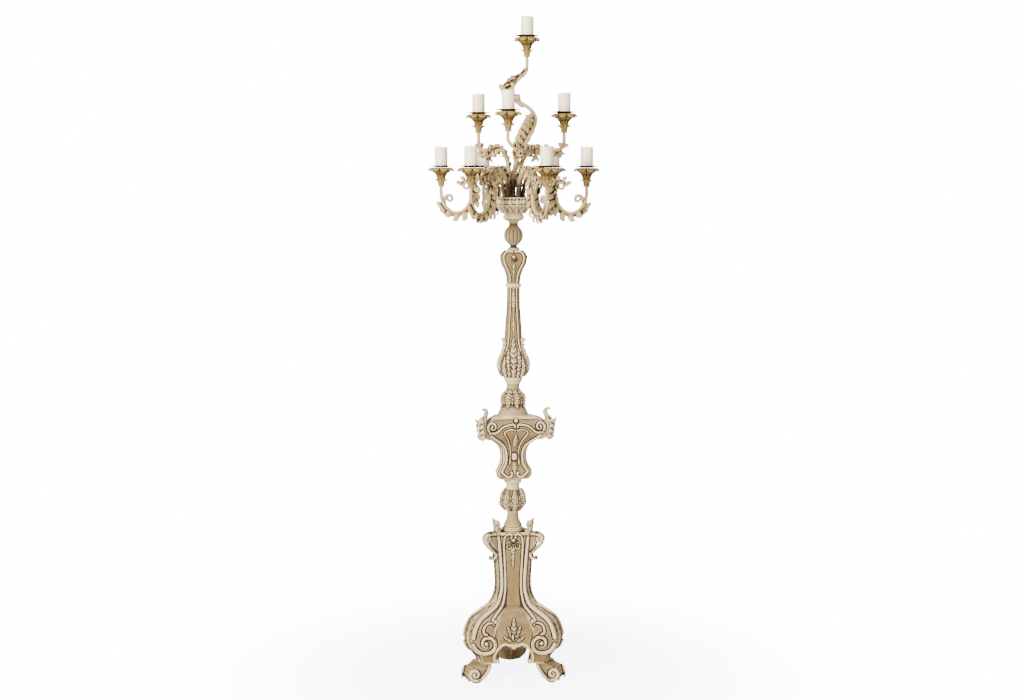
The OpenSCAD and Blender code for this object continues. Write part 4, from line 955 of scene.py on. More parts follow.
def carve_base(c, edge):
    # outer rail and its volute, then the inner frame with its curls
    c.moulding(outer_rail, moulding_w, 13, 5.5, 1.0, 1.8, both=True)
    c.moulding(volute, 14, 8, 6.5, 1.0, 2.0, both=True)
    c.moulding(inner_frame, 6, 7, 3.6, 0.85, 1.2, both=True)
    c.boss(volute_eye, 6.5, 6.5, 6, 1.0, both=True)
    c.boss((7.5, inner_top + 28), 4.6, 4.6, 4.5, 0.9, both=True)
    c.moulding(small_scroll, 5, 8.5, 4.5, 0.5, 1.6, both=True)
    c.boss((belly_face - 20, belly_h + 18), 4.2, 4.2, 4.5, 0.7, both=True)
    # shell with a hanging husk
    shell = np.array([0, base_h - 26])
    fan(c, shell, 24, 20, 4.4, 4.6, 0.5)
    c.boss(shell + [0, 2], 7.5, 6, 6, 0.85)
    c.moulding(smooth_curve([[6, base_h - 46], [14, base_h - 52], [20, base_h - 46], [19, base_h - 38]]), 4, 3, 3.4,
               0.7, both=True)
    for k in range(3):
        top = base_h - 46 - 21 * k
        c.leaf([[0, top], [-1.5, top - 12], [0.5, top - 27]], 7.4 - 1.5 * k, 4.4, 2, 0.62)
    # sprout over the apron
    c.leaf([[0, belly_h - 4], [-1, belly_h + 30], [0, belly_h + 68]], 11, 3.2, 3, 0.05)
    c.leaf([[-4, belly_h - 2], [-12, belly_h + 22], [-22, belly_h + 46]], 7.5, 2.4, 2, 0.0, both=True)
    c.leaf([[-8, belly_h - 6], [-24, belly_h + 4], [-34, belly_h + 14]], 6, 2.0, 2, 0.0, both=True)
    c.boss((-4, belly_h + 9), 4.4, 9, 6.5, 1.15)
    # cornice over the top, strips on the cut corners
    c.raise_to(np.where(c.z > base_h - 6, 3.2, 0), 0.75)
    c.shade(bell(c.z, base_h - 9, 1.6) * 0.9)
    beyond = np.abs(c.s) - edge
    c.raise_to(np.where((beyond >= 0) & (c.z > foot_h + 4), 1.6 * dome((beyond - 4.2) / 3.0), 0), 0.3)
    c.shade(np.where(beyond >= 0, bell(beyond, 9.0, 1.5) * 0.6, 0))
    c.shade(bell(beyond, 0.2, 1.1) * 0.8)


def close_slab(node, p, back, pick, cut, turn, lighter, back_shade, rounds):
    """Piece of the base from its carved front, its plain back and the edges between them."""
    points = np.vstack([p.reshape(-1, 3), back.reshape(-1, 3)])
    pad = np.zeros(len(points) - cut.ivory.size)
    mesh = to_mesh(node, turned_by(points, base_turn + turn), slab_faces(*p.shape[:2], pick))
    # The plain back, inside the base, is darkened with painted shade.
    finish_piece(node + "_carved", mesh, carved, [node], "carved_wood", rounds=rounds,
                 ivory=np.append(cut.ivory.ravel() + lighter, pad),
                 glaze=np.append(cut.glaze.ravel(), pad + back_shade))


def base_panel(node, turn):
    """Carved face with the arch cut out under it, and its plain back."""
    face_cols, corner_cols, rows, back_rows, wall = 150, 8, 250, 10, 18
    u = np.concatenate([[-1] * corner_cols, np.linspace(-1, 1, face_cols), [1] * corner_cols])
    bottom = np.full(len(u), foot_h + 0.0)
    for _ in range(12):
        bottom = np.interp(np.abs(u) * base_edge(bottom), *zip(*apron_heights))
    rows_z = base_profile.spread(bottom[None, :], base_h, np.linspace(0, 1, rows)[:, None])
    p, cut = sector(base_profile, base_corner_w, rows_z, face_cols, corner_cols,
                    lambda w: (w - stile_w) / 2 - 0.05, carve_base)
    pick = np.linspace(0, rows - 1, back_rows).astype(int)
    back = p[pick] + np.array([0, wall, 0]) * np.clip(1.15 - np.abs(p[pick][..., 0:1]) / 160, 0.5, 1)
    for column, sign in ((0, -1), (-1, 1)):
        back[:, column] = p[pick][:, column] - np.array([sign * ROOT3 / 2, -0.5, 0]) * wall * 0.8
    close_slab(node, p, back, pick, cut, turn, 0.10, 0.3, 7)


for node, turn in (("base_panel_front", 0), ("base_panel_right", 120), ("base_panel_left", 240)):
    base_panel(node, turn)


def apron_scrolls():
    """C scrolls along the cut-out under each face, curled at both ends."""
    rise_z = belly_h - 13.5
    line = smooth_curve([[3, rise_z - 12], [5, rise_z - 4], [14, rise_z - 5], [25, rise_z], [40, rise_z - 5.5],
                         [53, rise_z - 22], [60, rise_z - 40], [61, rise_z - 56], [55, rise_z - 65], [49, rise_z - 60]])
    parts = []
    for turn in (0, 120, 240):
        for side in (-1, 1):
            on_face = np.stack([side * line[:, 0], -(base_profile.at(line[:, 1]) + 1.5), line[:, 1]], 1)
            parts += [rotated(part, base_turn + turn) for part in (
                round_bar(on_face, 4.6, 4.0), ball(on_face[-1], (5, 5, 5)), ball(on_face[0], (4.5, 4, 4.5)))]
    finish_piece("apron_scrolls", fused(parts, 1.6, 2), carved, slot="carved_wood", ivory=0.85)


apron_scrolls()


def base_stile(node, turn):
    """Strip on the cut corner, with a reeded middle."""
    rows, cols, wall = 150, 17, 16
    z = base_profile.spread(foot_h, base_h, np.linspace(0, 1, rows))[:, None].repeat(cols, 1)
    s = np.linspace(-stile_w / 2, stile_w / 2, cols)[None, :].repeat(rows, 0)
    c = Carving(s, z)
    c.raise_to(1.8 * dome(s / 6.5), 0.3)
    c.shade(bell(np.abs(s), 7.6, 1.3) * 0.75)
    c.leaf([[0, belly_h - 40], [0, belly_h + 10], [0, belly_h + 66]], 10, 1.8, 4, 0.3)
    d = corner_distance(base_profile, base_corner_w, z)
    p = np.stack([s, -(d + c.height()), z], -1)
    pick = list(range(0, rows, 6))
    back = np.stack([s, -(d - wall), z], -1)[pick]
    close_slab(node, p, back, pick[:-1] + [rows - 1], c, turn, 0.05, 0, 8)


for node, turn in thirds("base_stile", 60, 180, 300):
    base_stile(node, turn)


# ---- Feet, brackets and ears: the solid with scrolls and leaves grown over it ----

def to_corner(part, turn):
    """Part drawn towards +X, turned to stand on the corner that `turn` names from -Y."""
    return rotated(part, turn - 90)


def shaped_tone(mesh, base=0.3, top=0.55):
    """Ivory that gathers on whatever stands proud of its surroundings."""
    p, n, e = points_of(mesh), normals_of(mesh), edges_of(mesh)
    proud = ((p - relaxed(p, e, 30)) * n).sum(1)
    return np.clip(base + top * np.clip(proud / 1.6, -0.5, 1), 0, 1)


def lined(mesh, lines, reach, base, top, line=1.0):
    """Ivory along the scrolls of a shape, gold between them, and painted shade beside them."""
    p, q = points_of(mesh), np.vstack(lines)
    d = np.concatenate([np.sqrt(((p[i:i + 4000, None] - q[None]) ** 2).sum(2)).min(1)
                        for i in range(0, len(p), 4000)])
    return {"ivory": np.maximum(shaped_tone(mesh, base, top), line * (1 - ramp(d, reach - 0.5, reach + 1.0))),
            "glaze": bell(d, reach + 2.2, 1.6) * 0.8}


neck_inner = smooth_curve([[neck_face - 8, foot_h], [neck_face - 5, 0.82 * foot_h], [neck_face + 4, 0.57 * foot_h],
                           [neck_face + 15, 0.33 * foot_h]])
foot_eye = [foot_face + 15, 0.52 * foot_h]
foot_scroll = np.vstack([neck_inner, spiral(foot_eye, 21, 4, -110, 400, 60)])
outer_curl = smooth_curve([[foot_face + 33, 7], [foot_face + 36, 0.3 * foot_h], [foot_face + 32, 0.62 * foot_h],
                           [foot_face + 22, 0.86 * foot_h]])


def on_foot_face(path, side):
    """Path on a foot's front face (sideways, up), for the right foot; side -1 gives its other face."""
    path = np.array(path, float)
    z = np.clip(path[:, 1], 0.5, foot_h)
    p = np.stack([path[:, 0], -np.interp(z, *foot_face_line), z], 1)
    if side > 0:
        return p
    p[:, 0] *= -1
    return turned_by(p, 120)


def read_foot_face():
    """Distance of the foot's faces from the axis against the height, read from the solid."""
    local = turned_by(copy_of_node("foot_right")[0], -base_turn)
    zs = np.linspace(2, foot_h - 2, 12)
    slices = [-local[np.abs(local[:, 2] - z) < 5][:, 1] for z in zs]
    near = [np.percentile(depths, 96) if len(depths) > 3 else foot_face for depths in slices]
    return zs, np.minimum(np.array(near), foot_face + 4.5) - 3


foot_face_line = read_foot_face()

for node, turn in thirds("foot", 0, 120, 240):
    parts, lines = [], []
    for side in (1, -1):
        line = on_foot_face(foot_scroll, side)
        line = line[line[:, 2] > 4.5][4:]
        lines.append(turned_by(line, base_turn + turn))
        parts += [round_bar(line, 5.6, 3.4), ball(on_foot_face([foot_eye], side)[0], (6.5, 6.5, 6.5)),
                  round_bar(on_foot_face(outer_curl, side), 3.2, 2.2)]
    mesh = fused([copy_of_node(node)] + [rotated(part, base_turn + turn) for part in parts], 1.5, 2)
    move_points(mesh, np.maximum(points_of(mesh), [-FAR, -FAR, low(node)]))
    finish_piece(node + "_carved", mesh, carved, [node], "carved_wood", **lined(mesh, lines, 5.4, 0.05, 0.4))

bracket_foot = corner_distance(base_profile, base_corner_w, base_h - 85) + 1
bracket_head = corner_distance(base_profile, base_corner_w, base_h - 12)
bracket_scroll = np.vstack([smooth_curve([[bracket_head - 1, base_h - 6], [bracket_head + 14, base_h - 3],
                                          [bracket_head + 30, base_h - 5]]),
                            spiral((bracket_head + 30, base_h - 18), 13, 3, 85, -300, 50)])
bracket_tail = smooth_curve([[bracket_head + 37, base_h - 27], [bracket_head + 25, base_h - 42],
                             [bracket_head + 13, base_h - 55], [bracket_foot + 6, base_h - 70],
                             [bracket_foot + 12, base_h - 82], [bracket_foot + 21, base_h - 84]])


def horn(side):
    return [[bracket_head + out, side * y, base_h + up] for out, y, up in (
        (-12, 5, 0), (-5, 6, 12), (-8, 7, 24), (-1, 8, 36), (5, 9, 42))]


for node, turn in thirds("base_bracket", 60, 180, 300):
    bars = [in_plane(line, y) for y in (-6, 6) for line in (bracket_scroll, bracket_tail)]
    # after the scrolls, one leaf over the back of the C and two flame-like horns on its root
    back = [[bracket_head + 2, 0, base_h - 2], [bracket_head + 18, 0, base_h + 2],
            [bracket_head + 33, 0, base_h - 5], [bracket_head + 40, 0, base_h - 18]]
    parts = [round_bar(b, 5.6, 3.6) for b in bars] + [
        ball((bracket_head + 30, 0, base_h - 18), (6, 13, 6)), ball((bracket_foot + 21, 0, base_h - 82), (5.5, 8, 5.5)),
        leaf_sheet(in_plane(bracket_tail) + [3, 0, 0], (1, 0, 0.6), (15, 15), 5, 6),
        flat_blade(back, (0.3, 0, 1), 24, 7)] + [blade(horn(side), 17, 9, OVER, root=0.8) for side in (-1, 1)]
    mesh = fused([copy_of_node(node)] + [to_corner(part, base_turn + turn) for part in parts], 1.3, 2)
    lines = [turned_by(b, base_turn + turn - 90) for b in bars]
    finish_piece(node + "_carved", mesh, carved, [node], "carved_wood", **lined(mesh, lines, 5.2, 0.2, 0.6, 0.9))


def ped_line(*points):
    """Curve through [distance, share of the pedestal's height] points."""
    return smooth_curve([[d, ped_share(t)] for d, t in points])


ear_root = corner_distance(ped_profile, ped_corner, ped_share(0.8))
ear_hook = ped_line((ear_root + 14, 0.92), (ear_root + 2, 1.05), (ear_root - 2, 1.11), (ear_root + 6, 1.15),
                    (ear_root + 12, 1.12))
ear_vein = ped_line((ear_root + 12, 0.67), (ear_root + 24, 0.78), (ear_root + 22, 0.94), (ear_root + 8, 1.03))
for node, turn in thirds("pedestal_ear", 60, 180, 300):
    parts = []
    for side in (-1, 1):
        for k in range(4):
            at = np.array([ear_root + 6 + 2.5 * k, side * 3, ped_share(0.68 + 0.085 * k)])
            parts.append(flat_blade([at, at + [8, side * 6, 2], at + [11, side * 11, 7], at + [9, side * 13, 15]],
                                    (0.6, side * 0.8, 0.1), 17, 6, root=0.8))
    parts += [round_bar(in_plane(ear_hook), 5.5, 3.2), round_bar(in_plane(ear_vein), 3, 4)]
    mesh = fused([copy_of_node(node)] + [to_corner(part, ped_turn + turn) for part in parts], 1.3, 2)
    finish_piece(node + "_carved", mesh, carved, [node], "carved_wood", ivory=shaped_tone(mesh, 0.35, 0.6))


# ---- Turned pieces ----

def turned_piece(node, profile, ivory, count=1, start=0.0, carve=None, rows=80, cols=200, material=carved,
                 slot="carved_wood", extra=()):
    """Turned body from its [radius, height] profile, with ornament repeated round it."""
    line = along(np.array(profile, float), np.linspace(0, 1, rows))
    t = np.gradient(line, axis=0)
    n = unit(np.stack([t[:, 1], -t[:, 0]], 1))
    degrees = 360 * np.arange(cols) / cols
    part = 360 / count
    local = (degrees - start + part / 2) % part - part / 2
    r, z = line[:, :1] + 0 * local, line[:, 1:] + low(node) + 0 * local
    c = Carving(np.radians(local)[None, :] * np.maximum(r, 1), z)
    if carve:
        carve(c)
    h = c.height()
    out, up, a = r + n[:, :1] * h, z + n[:, 1:] * h, np.radians(degrees)[None, :]
    skin = tube(np.stack([out * np.cos(a), out * np.sin(a), up], -1), [0, 0, z[0, 0]], [0, 0, z[-1, 0]])
    mesh = joined(node + "_turned", [skin] + list(extra))
    rest = len(mesh.vertices) - c.lift.size
    ground = ivory((c.z - low(node)) / height_of(node)) if callable(ivory) else ivory
    tone = np.append(np.clip(c.ivory + ground * (c.lift <= 0.01), 0, 1.2).ravel(), np.full(rest, 0.7))
    finish_piece(node + "_turned", mesh, material, [node], slot, ivory=tone,
                 glaze=np.append(c.glaze.ravel(), np.zeros(rest)))


def ivory_turning(node, profile, ivory, rows, cols=120):
    turned_piece(node, profile, ivory, material=turned_ivory, slot="ivory_turning", rows=rows, cols=cols)


def smooth_profile(*runs):
    return np.vstack([smooth_curve(run, 6) if len(run) > 2 else np.array(run, float) for run in runs])


def up_from(z, h):
    """Level at a share of a height h above z."""
    return lambda t: z + t * h


h = height_of("base_collar")
ivory_turning("base_collar", smooth_profile(
    [[collar_r + 1, 0], [collar_r + 1.5, 0.5]],
    [[collar_r + 4, 2], [collar_r + 4.4, 3.5], [collar_r + 4, 5], [collar_r + 0.5, 7.5]],
    [[collar_r + 3.5, 8.5], [collar_r + 4, 9.8], [collar_r + 3.5, 11], [collar_r - 1, 13.5]],
    [[collar_r, 15], [collar_r + 0.5, 19], [collar_r - 1, 23], [collar_r - 5, 0.48 * h], [neck_r, 0.62 * h],
     [neck_r - 2, 0.85 * h], [neck_r - 1, h]]), lambda t: 0.95 - 0.75 * ramp(t, 0.22, 0.3), 70)

h = height_of("leaf_knop")
knop_up = up_from(leaf_knop_z, h)


def carve_leaf_knop(c):
    c.leaf([[0, knop_up(0.03)], [0, knop_up(0.5)], [0, knop_up(0.99)]], 14.5, 5, 5, 0.5, curl=0.5)
    c.leaf([[15, knop_up(0.02)], [15, knop_up(0.4)], [15, knop_up(0.8)]], 7, 3, 3, 0.3, both=True)
    c.shade(np.where(c.lift < 0.6, 0.55, 0))


turned_piece("leaf_knop", smooth_profile(
    [[neck_r - 1, 0], [neck_r + 7, 0.12 * h], [leaf_knop_r, 0.32 * h], [leaf_knop_r, 0.5 * h],
     [leaf_knop_r - 4, 0.78 * h], [neck_r + 6, 0.95 * h], [neck_r + 2, h]]),
    0.1, count=8, start=12, carve=carve_leaf_knop, rows=104, cols=320)

h = height_of("pedestal_ring")
ivory_turning("pedestal_ring", smooth_profile(
    [[neck_r + 2, 0], [neck_r + 1, 0.2 * h]], [[neck_r + 1, 0.35 * h], [neck_r + 2, 0.45 * h], [neck_r + 3, 0.5 * h]],
    [[neck_r + 7, 0.58 * h], [neck_r + 8.5, 0.72 * h], [neck_r + 8, 0.88 * h], [neck_r + 5, h]]),
    0.8, 50)


def carve_pedestal(c, edge):
    eye = (ped_edge(ped_share(0.9)) - 15, ped_share(0.865))
    z = mix(ped_share(0.78), ped_share(0.12), np.linspace(0, 1, 40))
    sides = np.stack([ped_edge(z) - 4.4, z], 1)
    toe = smooth_curve([sides[-1]] + [[d, ped_share(t)] for d, t in ((24, 0.05), (12, 0.055), (8, 0.095), (12, 0.115))])
    c.moulding(np.vstack([spiral(eye, 17.5, 3.5, -55, 420, 80)[::-1], sides, toe]), 6.6, 6.8, 5, 1.0, 1.4, both=True)
    c.boss(eye, 5, 5, 5, 1.0, both=True)
    crest = smooth_curve([[eye[0] + 8, eye[1] - 17], [eye[0] - 6, eye[1] - 19], [eye[0] - 20, eye[1] - 12],
                          [eye[0] - 36, eye[1] + 1], [10, eye[1] + 7], [4, eye[1] - 1]])
    c.moulding(crest, 6, 6, 5, 0.9, 1.2, both=True)
    c.boss((0, ped_share(0.955)), 6.5, 5.5, 7, 0.9)
    inner = ped_line((3, 0.8), (16, 0.825), (34, 0.79), (36, 0.745), (26, 0.67), (17, 0.56), (13, 0.46), (13, 0.34),
                     (15, 0.24))
    c.moulding(inner, 4.2, 4.2, 3, 0.5, 1.0, both=True)
    c.boss((0, ped_share(0.36)), 9.5, 12, 5.5, 0.85)
    c.leaf([[0, ped_share(0.52)], [0, ped_share(0.6)], [0, ped_share(0.74)]], 9, 3.6, 3, 0.45)
    c.leaf([[0, ped_share(0.28)], [0, ped_share(0.2)], [0, ped_share(0.09)]], 8, 4, 3, 0.5)
    beyond = np.abs(c.s) - edge
    c.shade(bell(beyond, 0.2, 1.1) * 0.8)
    c.raise_to(np.where(beyond > 0, 2.2 * dome((beyond - 5) / 3.4), 0), 0.7)
    c.raise_to(np.where(c.z > ped_share(0.975), 2.0, 0), 0.8)


three_sided("pedestal", ped_profile, ped_corner, ped_z, dome_z, 210, 106, 8, carve_pedestal, ped_turn, 7)

h = height_of("dome_cap")
dome_up = up_from(dome_z, h)


def carve_dome(c):
    c.leaf([[0, dome_up(0.8)], [0, dome_up(0.5)], [0, dome_up(0.22)]], 13, 4.5, 4, 0.55, curl=0.5)
    c.leaf([[14, dome_up(0.76)], [14, dome_up(0.55)], [14, dome_up(0.34)]], 6, 2.6, 2, 0.3, both=True)
    c.shade(np.where((c.lift < 0.6) & (c.z < dome_up(0.72)) & (c.z > dome_up(0.25)), 0.55, 0))


turned_piece("dome_cap", smooth_profile(
    [[dome_r, 0], [dome_r - 4, 0.1 * h], [dome_r - 11, 0.24 * h], [dome_r - 14, 0.36 * h], [dome_r - 12, 0.46 * h],
     [dome_r - 15, 0.6 * h], [neck_r + 4, 0.7 * h], [neck_r, 0.8 * h], [neck_r + 1, 0.94 * h], [neck_r + 4, h]]),
    0.35, count=8, start=20, carve=carve_dome, rows=100, cols=320)

h = height_of("column_ring")
ivory_turning("column_ring", smooth_profile(
    [[neck_r + 4, 0], [neck_r + 6, 0.1 * h], [neck_r + 6, 0.3 * h], [neck_r + 4.5, 0.36 * h]],
    [[neck_r + 8, 0.42 * h], [neck_r + 10, 0.65 * h], [neck_r + 8.5, 0.9 * h], [neck_r + 6, h]]),
    0.85, 50)

up_lower = up_from(lower_column_z, column_collar_z - lower_column_z)
up_upper = up_from(upper_column_z, height_of("upper_column"))
lower_profile = Profile([[up_lower(t), d] for t, d in (
    (0, bulb_face - 12), (0.05, bulb_face - 3), (0.12, bulb_face), (0.19, bulb_face - 1), (0.26, bulb_face - 7),
    (0.34, bulb_face - 13), (0.45, shaft_face + 5.5), (0.6, shaft_face + 3.5), (0.8, shaft_face + 0.8),
    (1, shaft_face))])
upper_profile = Profile([[up_upper(t), d] for t, d in (
    (0, shaft_face), (0.25, shaft_face + 2), (0.45, shaft_face + 6), (0.62, shaft_face + 11), (0.8, shaft_face + 12.5),
    (0.93, shaft_face + 9), (1, shaft_face + 3.5))])


def lower_corner(z):
    return blend_w(z, [(up_lower(0.1), 24), (up_lower(0.5), 17), (up_lower(1), 14)])


def upper_corner(z):
    return np.full(np.shape(z), 14.0)


def carve_lower_column(c, edge):
    for s, tilt, top, wide in ((0, 0, 0.46, 13), (13, 10, 0.34, 9), (24, 15, 0.24, 8)):
        c.leaf([[s, up_lower(0.0)], [s + tilt * 0.4, up_lower(top * 0.55)], [s + tilt * 0.2, up_lower(top)]],
               wide, 5 - s / 12, 4, 0.6, both=s > 0, curl=0.5)
    z = np.linspace(up_lower(0.3), up_lower(0.995), 40)
    rail = np.stack([ROOT3 * lower_profile.at(z) - lower_corner(z) - 2.6, z], 1)
    c.moulding(rail, 4.2, 3.4, 2.8, 0.85, 1.0, both=True)
    c.leaf([[0, up_lower(0.97)], [0, up_lower(0.85)], [0, up_lower(0.7)]], 5.5, 2.6, 4, 0.6)
    c.leaf([[0, up_lower(0.5)], [0, up_lower(0.6)], [0, up_lower(0.7)]], 4, 2.2, 3, 0.6)
    c.shade(bell(np.abs(c.s) - edge, 0.2, 0.9) * 0.7)
    c.shade(np.where((c.z < up_lower(0.27)) & (c.lift < 0.7), 0.5, 0))


def carve_upper_column(c, edge):
    z = np.linspace(up_upper(0.02), up_upper(0.74), 40)
    rail = np.stack([ROOT3 * upper_profile.at(z) - 14 - 3.0, z], 1)
    shoe = smooth_curve([rail[-1], [rail[-1][0] + 0.5, up_upper(0.83)], [rail[-1][0] - 6, up_upper(0.93)],
                         [0.5 * rail[-1][0], up_upper(0.975)], [3, up_upper(0.955)]])
    c.moulding(np.vstack([rail, shoe]), 4.4, 5.2, 3.4, 0.95, 1.2, both=True)
    centre = np.array([0, up_upper(0.77)])
    fan(c, centre, 25, 14, 3.2, 3.6, 0.75)
    c.boss(centre + [0, 3], 6, 5.5, 4.5, 0.9)
    for k in range(3):
        top = up_upper(0.6 - 0.16 * k)
        c.leaf([[0, top], [0, top - 8], [0, top - 17]], 5 - k, 3.0, 2, 0.6)
    c.shade(bell(np.abs(c.s) - edge, 0.2, 0.9) * 0.7)


three_sided("lower_column", lower_profile, lower_corner, lower_column_z, column_collar_z, 220, 60, 8,
            carve_lower_column, base_turn, 6)
three_sided("upper_column", upper_profile, upper_corner, upper_column_z, gadroon_z, 200, 64, 6,
            carve_upper_column, base_turn, 6)

# Acanthus on the corners of the lower bulb, its tips rolled outwards
d = [corner_distance(lower_profile, lower_corner, up_lower(t)) for t in (0.03, 0.14, 0.25, 0.34)]
line = smooth_curve([[d[0] - 1, up_lower(0.03)], [d[1] + 1, up_lower(0.14)], [d[2] + 2, up_lower(0.25)],
                     [d[3] + 3, up_lower(0.34)], [shaft_face + 18, up_lower(0.41)]])
roll = np.vstack([line[-6:], spiral((shaft_face + 21, up_lower(0.42)), 5.5, 2.4, 170, -160, 24)])
parts = [sweep_flat(in_plane(line), OVER, (1, 0, 0.1), 8.5 * np.sin(np.pi * np.linspace(0.15, 0.9, len(line))), 2.6)]
parts += [round_bar(in_plane(roll, y), 3.2, 2.6) for y in (-3.4, 0, 3.4)]
for k in range(5):
    at = in_plane(line)[int((0.1 + 0.16 * k) * len(line))]
    parts += [flat_blade([at, at + [0.5, side * 5, 4], at + [1, side * 9, 10]], (1, 0, 0), 7, 3.2) for side in (-1, 1)]
mesh = fused([to_corner(part, base_turn + turn) for turn in (60, 180, 300) for part in parts], 1.4, 2)
finish_piece("column_corner_leaves", mesh, carved, slot="carved_wood", ivory=shaped_tone(mesh, 0.5, 0.5))

h = height_of("column_collar")
r = shaft_face + 10
ivory_turning("column_collar", smooth_profile(
    [[r - 4, 0], [r - 1, 0.12 * h], [r, 0.35 * h], [r, 0.65 * h], [r - 1, 0.88 * h], [r - 4, h]]), 0.8, 30, 96)

h = height_of("gadroon_knop")


def carve_gadroons(c):
    t = (c.z - gadroon_z) / height_of("gadroon_knop")
    swell = np.clip(np.sin(np.pi * np.clip((t - 0.17) / 0.68, 0, 1)), 0, 1)
    width = np.pi * np.interp(t, [0.2, 0.5, 0.85], [17, gadroon_r, 17]) / gadroons
    v = np.clip(np.abs(c.s) / width, 0, 1)
    c.raise_to(4.2 * swell * dome(v, 2.4), 0.15)
    c.shade(np.where(swell > 0.05, ramp(v, 0.62, 0.95), 0))


turned_piece("gadroon_knop", smooth_profile(
    [[shaft_face + 3, 0], [shaft_face + 5, 4], [shaft_face + 3.5, 7], [shaft_face - 3, 10], [shaft_face - 3.5, 15],
     [shaft_face + 2, 22], [gadroon_r - 4, 0.37 * h], [gadroon_r - 2, 0.53 * h], [gadroon_r - 5, 0.67 * h],
     [neck_r - 4, 0.8 * h], [neck_r - 6, 0.9 * h], [neck_r - 1, h]]),
    0.15, count=gadroons, carve=carve_gadroons, rows=100, cols=294)

h = height_of("bowl_ring")
r = neck_r + 13
ivory_turning("bowl_ring", smooth_profile(
    [[neck_r - 1, 0], [r - 9, 0.02 * h]],
    [[r - 8, 0.06 * h], [r - 1, 0.3 * h], [r, 0.55 * h], [r - 2, 0.8 * h], [r - 5, h]]),
    lambda t: 0.75 * ramp(t, 0.15, 0.4), 40)

h = height_of("bowl")
bowl_up = up_from(bowl_z, h)
egg_z, egg_ring = bowl_up(0.735), bowl_r - 4.5
egg = ball((0, 0, egg_z), (3.6, 5.4, 0.155 * h), 9)
shell_line = spiral((0, egg_z), 8.0, 8.0, -205, 25, 22)
collar = round_bar(np.stack([np.full(len(shell_line), 0.6), shell_line[:, 0],
                             egg_z + (shell_line[:, 1] - egg_z) * 0.9], 1), 1.5, 1.5, (1, 0, 0), 8)
dart = blade([[0.6, 0, bowl_up(0.9)], [1.6, 0, bowl_up(0.75)], [0.6, 0, bowl_up(0.56)]], 3.6, 3.2, (1, 0, 0))
eggs = ring_of([egg, collar], gadroons, egg_ring, 0, carved)
darts = ring_of([dart], gadroons, egg_ring, 180 / gadroons, carved)


def carve_bowl(c):
    c.shade(np.where((c.z > bowl_up(0.555)) & (c.z < bowl_up(0.9)), 0.75, 0))
    c.leaf([[0, bowl_up(0.03)], [0, bowl_up(0.2)], [0, bowl_up(0.42)]], 7.5, 2.4, 3, 0.45)


turned_piece("bowl", smooth_profile(
    [[neck_r + 8, 0], [neck_r + 12, 0.2]],
    [[neck_r + 16, 1], [neck_r + 18, 0.08 * h], [bowl_r - 12, 0.2 * h], [bowl_r - 6, 0.36 * h], [bowl_r - 3, 0.44 * h]],
    [[bowl_r - 1, 0.46 * h], [bowl_r - 0.4, 0.49 * h], [bowl_r - 1, 0.53 * h], [bowl_r - 4.4, 0.555 * h]],
    [[bowl_r - 4.4, 0.56 * h], [bowl_r - 3.6, 0.9 * h]],
    [[bowl_r - 1, 0.915 * h], [bowl_r, 0.94 * h], [bowl_r, 0.985 * h], [bowl_r - 1, h]],
    [[bowl_r - 1.2, h], [bowl_r - 14, h - 0.1]], [[bowl_r - 15, h - 0.2], [bowl_r - 15, h - 0.3]]),
    0.45, count=gadroons, carve=carve_bowl, rows=120, cols=336, extra=[eggs, darts])


# ---- Arms ----

def clasping(path, first, last, widths, lobes, across=OVER):
    """Leaf laid along a stretch of a bar, its tip freed from it."""
    line = along(path, np.linspace(first, last, 24))
    t, _, _ = frames_along(line, across)
    free = np.clip((np.linspace(0, 1, 24) - 0.7) / 0.3, 0, 1)[:, None] ** 2
    line = line + np.cross(np.array(across, float), t) * free * 8 * (1 if widths[0] >= widths[1] else -1)
    return [leaf_sheet(line, across, widths, lobes, 11, 0.0), leaf_sheet(line, across, widths, lobes, 7, 0.3)]


def arm_skin(path, parts, up=OVER):
    r = np.linspace(arm_root_r, arm_tip_r, len(path))
    return fused([sweep(path, r, r, up, 16)] + parts, 1.9, 2)


def finish_arm(node, skin, turn=0):
    """Copy of an arm's skin, turned about the stem: light lobes, with painted shade where the arms crowd over the bowl.
    """
    mesh = skin.copy()
    mesh.transform(Matrix.Rotation(math.radians(turn), 4, "Z"))
    p = points_of(mesh)
    crowd_shade = (1 - ramp(np.hypot(p[:, 0], p[:, 1]), 34, 70)) * (1 - ramp(p[:, 2], rim_z + 30, rim_z + 95))
    finish_piece(node + "_carved", mesh, foliage, [node], "gilt_foliage", rounds=10, depth=0.6,
                 ivory=shaped_tone(mesh, 0.35, 0.8) - 0.6 * crowd_shade, glaze=0.7 * crowd_shade)


def rise(points):
    """[out, height over the bowl's rim] points, as heights above the floor."""
    return [[p[0], rim_z + p[1]] + list(p[2:]) for p in points]


lower_path = smooth_curve([[lower_root, block_top]] + rise(
    [[lower_root + 1, 20], [lower_root + 12, 58], [lower_root + 38, 85], [lower_root + 66, 74],
     [lower_reach - 108, 46], [lower_reach - 96, 12], [lower_reach - 89, -20], [lower_reach - 70, -43],
     [lower_reach - 44, -50], [lower_reach - 20, -38], [lower_reach - 4, -14], [lower_reach, 8]])
    + [[lower_reach, lower_cup_z]], 6)
lower_leaf = smooth_curve(rise([[lower_root + 4, 50], [lower_root + 20, 82], [lower_root + 44, 94],
                                [lower_root + 72, 80], [lower_reach - 102, 50], [lower_reach - 93, 20]]))
lower_scroll = np.vstack([rise([[lower_reach - 12, -26]]), spiral((lower_reach - 26, rim_z - 6), 15, 4, -10, 400, 50)])
upper_scroll = np.vstack([rise([[lower_reach - 96, 8], [lower_reach - 97, 22]]),
                          spiral((lower_reach - 80, rim_z + 33), 17, 4, 180, -240, 50)])
parts = acanthus(in_plane(lower_leaf), OVER, 20, 6, 34, 0.85, 4.2, 0.1, 0.95, 0.85, 0.4)
